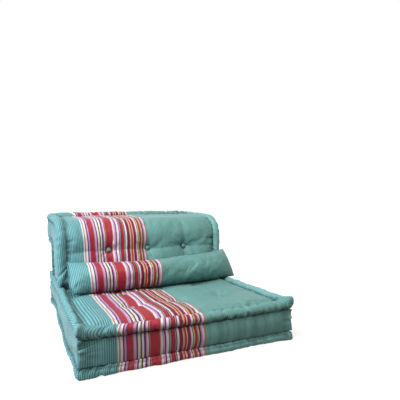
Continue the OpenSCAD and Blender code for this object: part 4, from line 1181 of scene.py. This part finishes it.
def settle_all():
    """Cloth with a little ease, held at its seams and tufts and blown out by its filling."""
    starts = []
    for piece, held, cap in to_settle:
        group = piece.vertex_groups.new(name="held")
        group.add([int(i) for i in np.nonzero(held)[0]], 1.0, "REPLACE")
        move = piece.modifiers.new("settle", "CLOTH")
        for name, value in CLOTH_SETTINGS.items():
            setattr(move.settings, name, value)
        move.settings.effector_weights.gravity = 0
        move.collision_settings.use_collision = False
        move.collision_settings.use_self_collision = False
        move.point_cache.frame_start, move.point_cache.frame_end = 1, FRAMES
        starts.append(places_of(piece.data))
    for number in range(1, FRAMES + 1):
        bpy.context.scene.frame_set(number)
    graph = bpy.context.evaluated_depsgraph_get()
    for (piece, held, cap), start in zip(to_settle, starts):
        step = places_of(piece.evaluated_get(graph).data) - start
        out = places_of(piece.data, "normal")
        rise = np.sum(step * out, 1, keepdims=True)
        step = step + out * (np.maximum(rise, -DIP) - rise)
        far = np.linalg.norm(step, axis=1, keepdims=True)
        step = step * np.minimum(1, cap / np.maximum(far, 1e-9))
        step[held] = 0
        piece.modifiers.clear()
        piece.vertex_groups.clear()
        piece.data.vertices.foreach_set("co", (start + step).ravel())
        piece.data.update()
    bpy.context.scene.frame_set(1)


settle_all()

# ---- each piece joins its body, and the parts it stands for are hidden
for piece, body, slot, nodes, fill in waiting:
    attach(piece, body)
    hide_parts(*nodes)

# the solids that are shown as they are
shown = {"seat_base_foam": foam, "seat_comfort_foam": foam, "back_stem_foam": foam, "back_head_foam": foam,
         "seat_twines": twine, "back_twines": twine, "bolster_zip_tape": zip_tape, "bolster_zip_slider": zip_metal}
for node, finish in shown.items():
    materials = frame["nodes"][node].data.materials
    materials.clear()
    materials.append(finish)

# ---- floor and light
floor_mesh = bpy.data.meshes.new("floor")
floor_mesh.from_pydata([(-6, -6, 0), (6, -6, 0), (6, 8, 0), (-6, 8, 0)], [], [(0, 1, 2, 3)])
floor = bpy.data.objects.new("floor", floor_mesh)
bpy.context.scene.collection.objects.link(floor)
# the eye sees the floor with a glow that makes it white, and light meets the plain floor
ground = Finish("pale_floor")
ground.feed(Base_Color=(0.27, 0.262, 0.225, 1), Roughness=0.95, Specular_IOR_Level=0.1)
away = ground.wire("VectorMath", {"operation": "LENGTH"}, (ground.wire("TexCoord", {}, (), 3),), "Value")
far_off = ground.wire("MapRange", {"interpolation_type": "SMOOTHSTEP"},
                      {"Value": away, "From Min": 0.75, "From Max": 1.7, "To Min": 0.80, "To Max": 1.0})
own = Wire(ground, ground.shader.outputs[0])
glow = ground.wire("Emission", {}, {"Color": (1, 1, 1, 1), "Strength": far_off})
either = ground.wire("MixShader", {}, (ground.seen(), own, ground.wire("AddShader", {}, (own, glow))))
ground.put(either, ground.tree.nodes["Material Output"].inputs["Surface"])
floor_mesh.materials.append(ground.material)

# the world is white for the eye and lights from above, more the higher it is
world = bpy.data.worlds.new("studio")
world.use_nodes = True
bpy.context.scene.world = world
studio = Nodes(world.node_tree)
height = Wire(studio, studio.node("SeparateXYZ", {}, (studio.wire("TexCoord", {}, (), 0),)).outputs[2])
seen = studio.seen()
sky = world.node_tree.nodes["Background"]
studio.put((1, 1, 1, 1), sky.inputs["Color"])
studio.put(seen + (1.0 - seen) * (height.highest(0.0) * 0.52 + 0.10), sky.inputs["Strength"])

# name, place, aim, size, watts and tint
for name, where, aim, size, watts, tint in (
        ("front_top", (-0.75, -0.75, 2.0), (-0.1, 0.0, 0.25), 0.9, 36, (1.0, 1.0, 0.96)),
        ("left_side", (-2.1, -0.25, 1.10), (0, 0, 0.25), 0.8, 50, (0.62, 0.86, 1.0)),
        ("right_fill", (2.6, -1.2, 1.6), (0, 0, 0.2), 2.0, 6, (1, 1, 1))):
    data = bpy.data.lights.new(name, "AREA")
    data.size, data.energy, data.color = size, watts, tint
    light = bpy.data.objects.new(name, data)
    light.location = where
    light.rotation_euler = (Vector(aim) - Vector(where)).to_track_quat("-Z", "Y").to_euler()
    bpy.context.scene.collection.objects.link(light)

bpy.context.scene.view_settings.view_transform = "Standard"
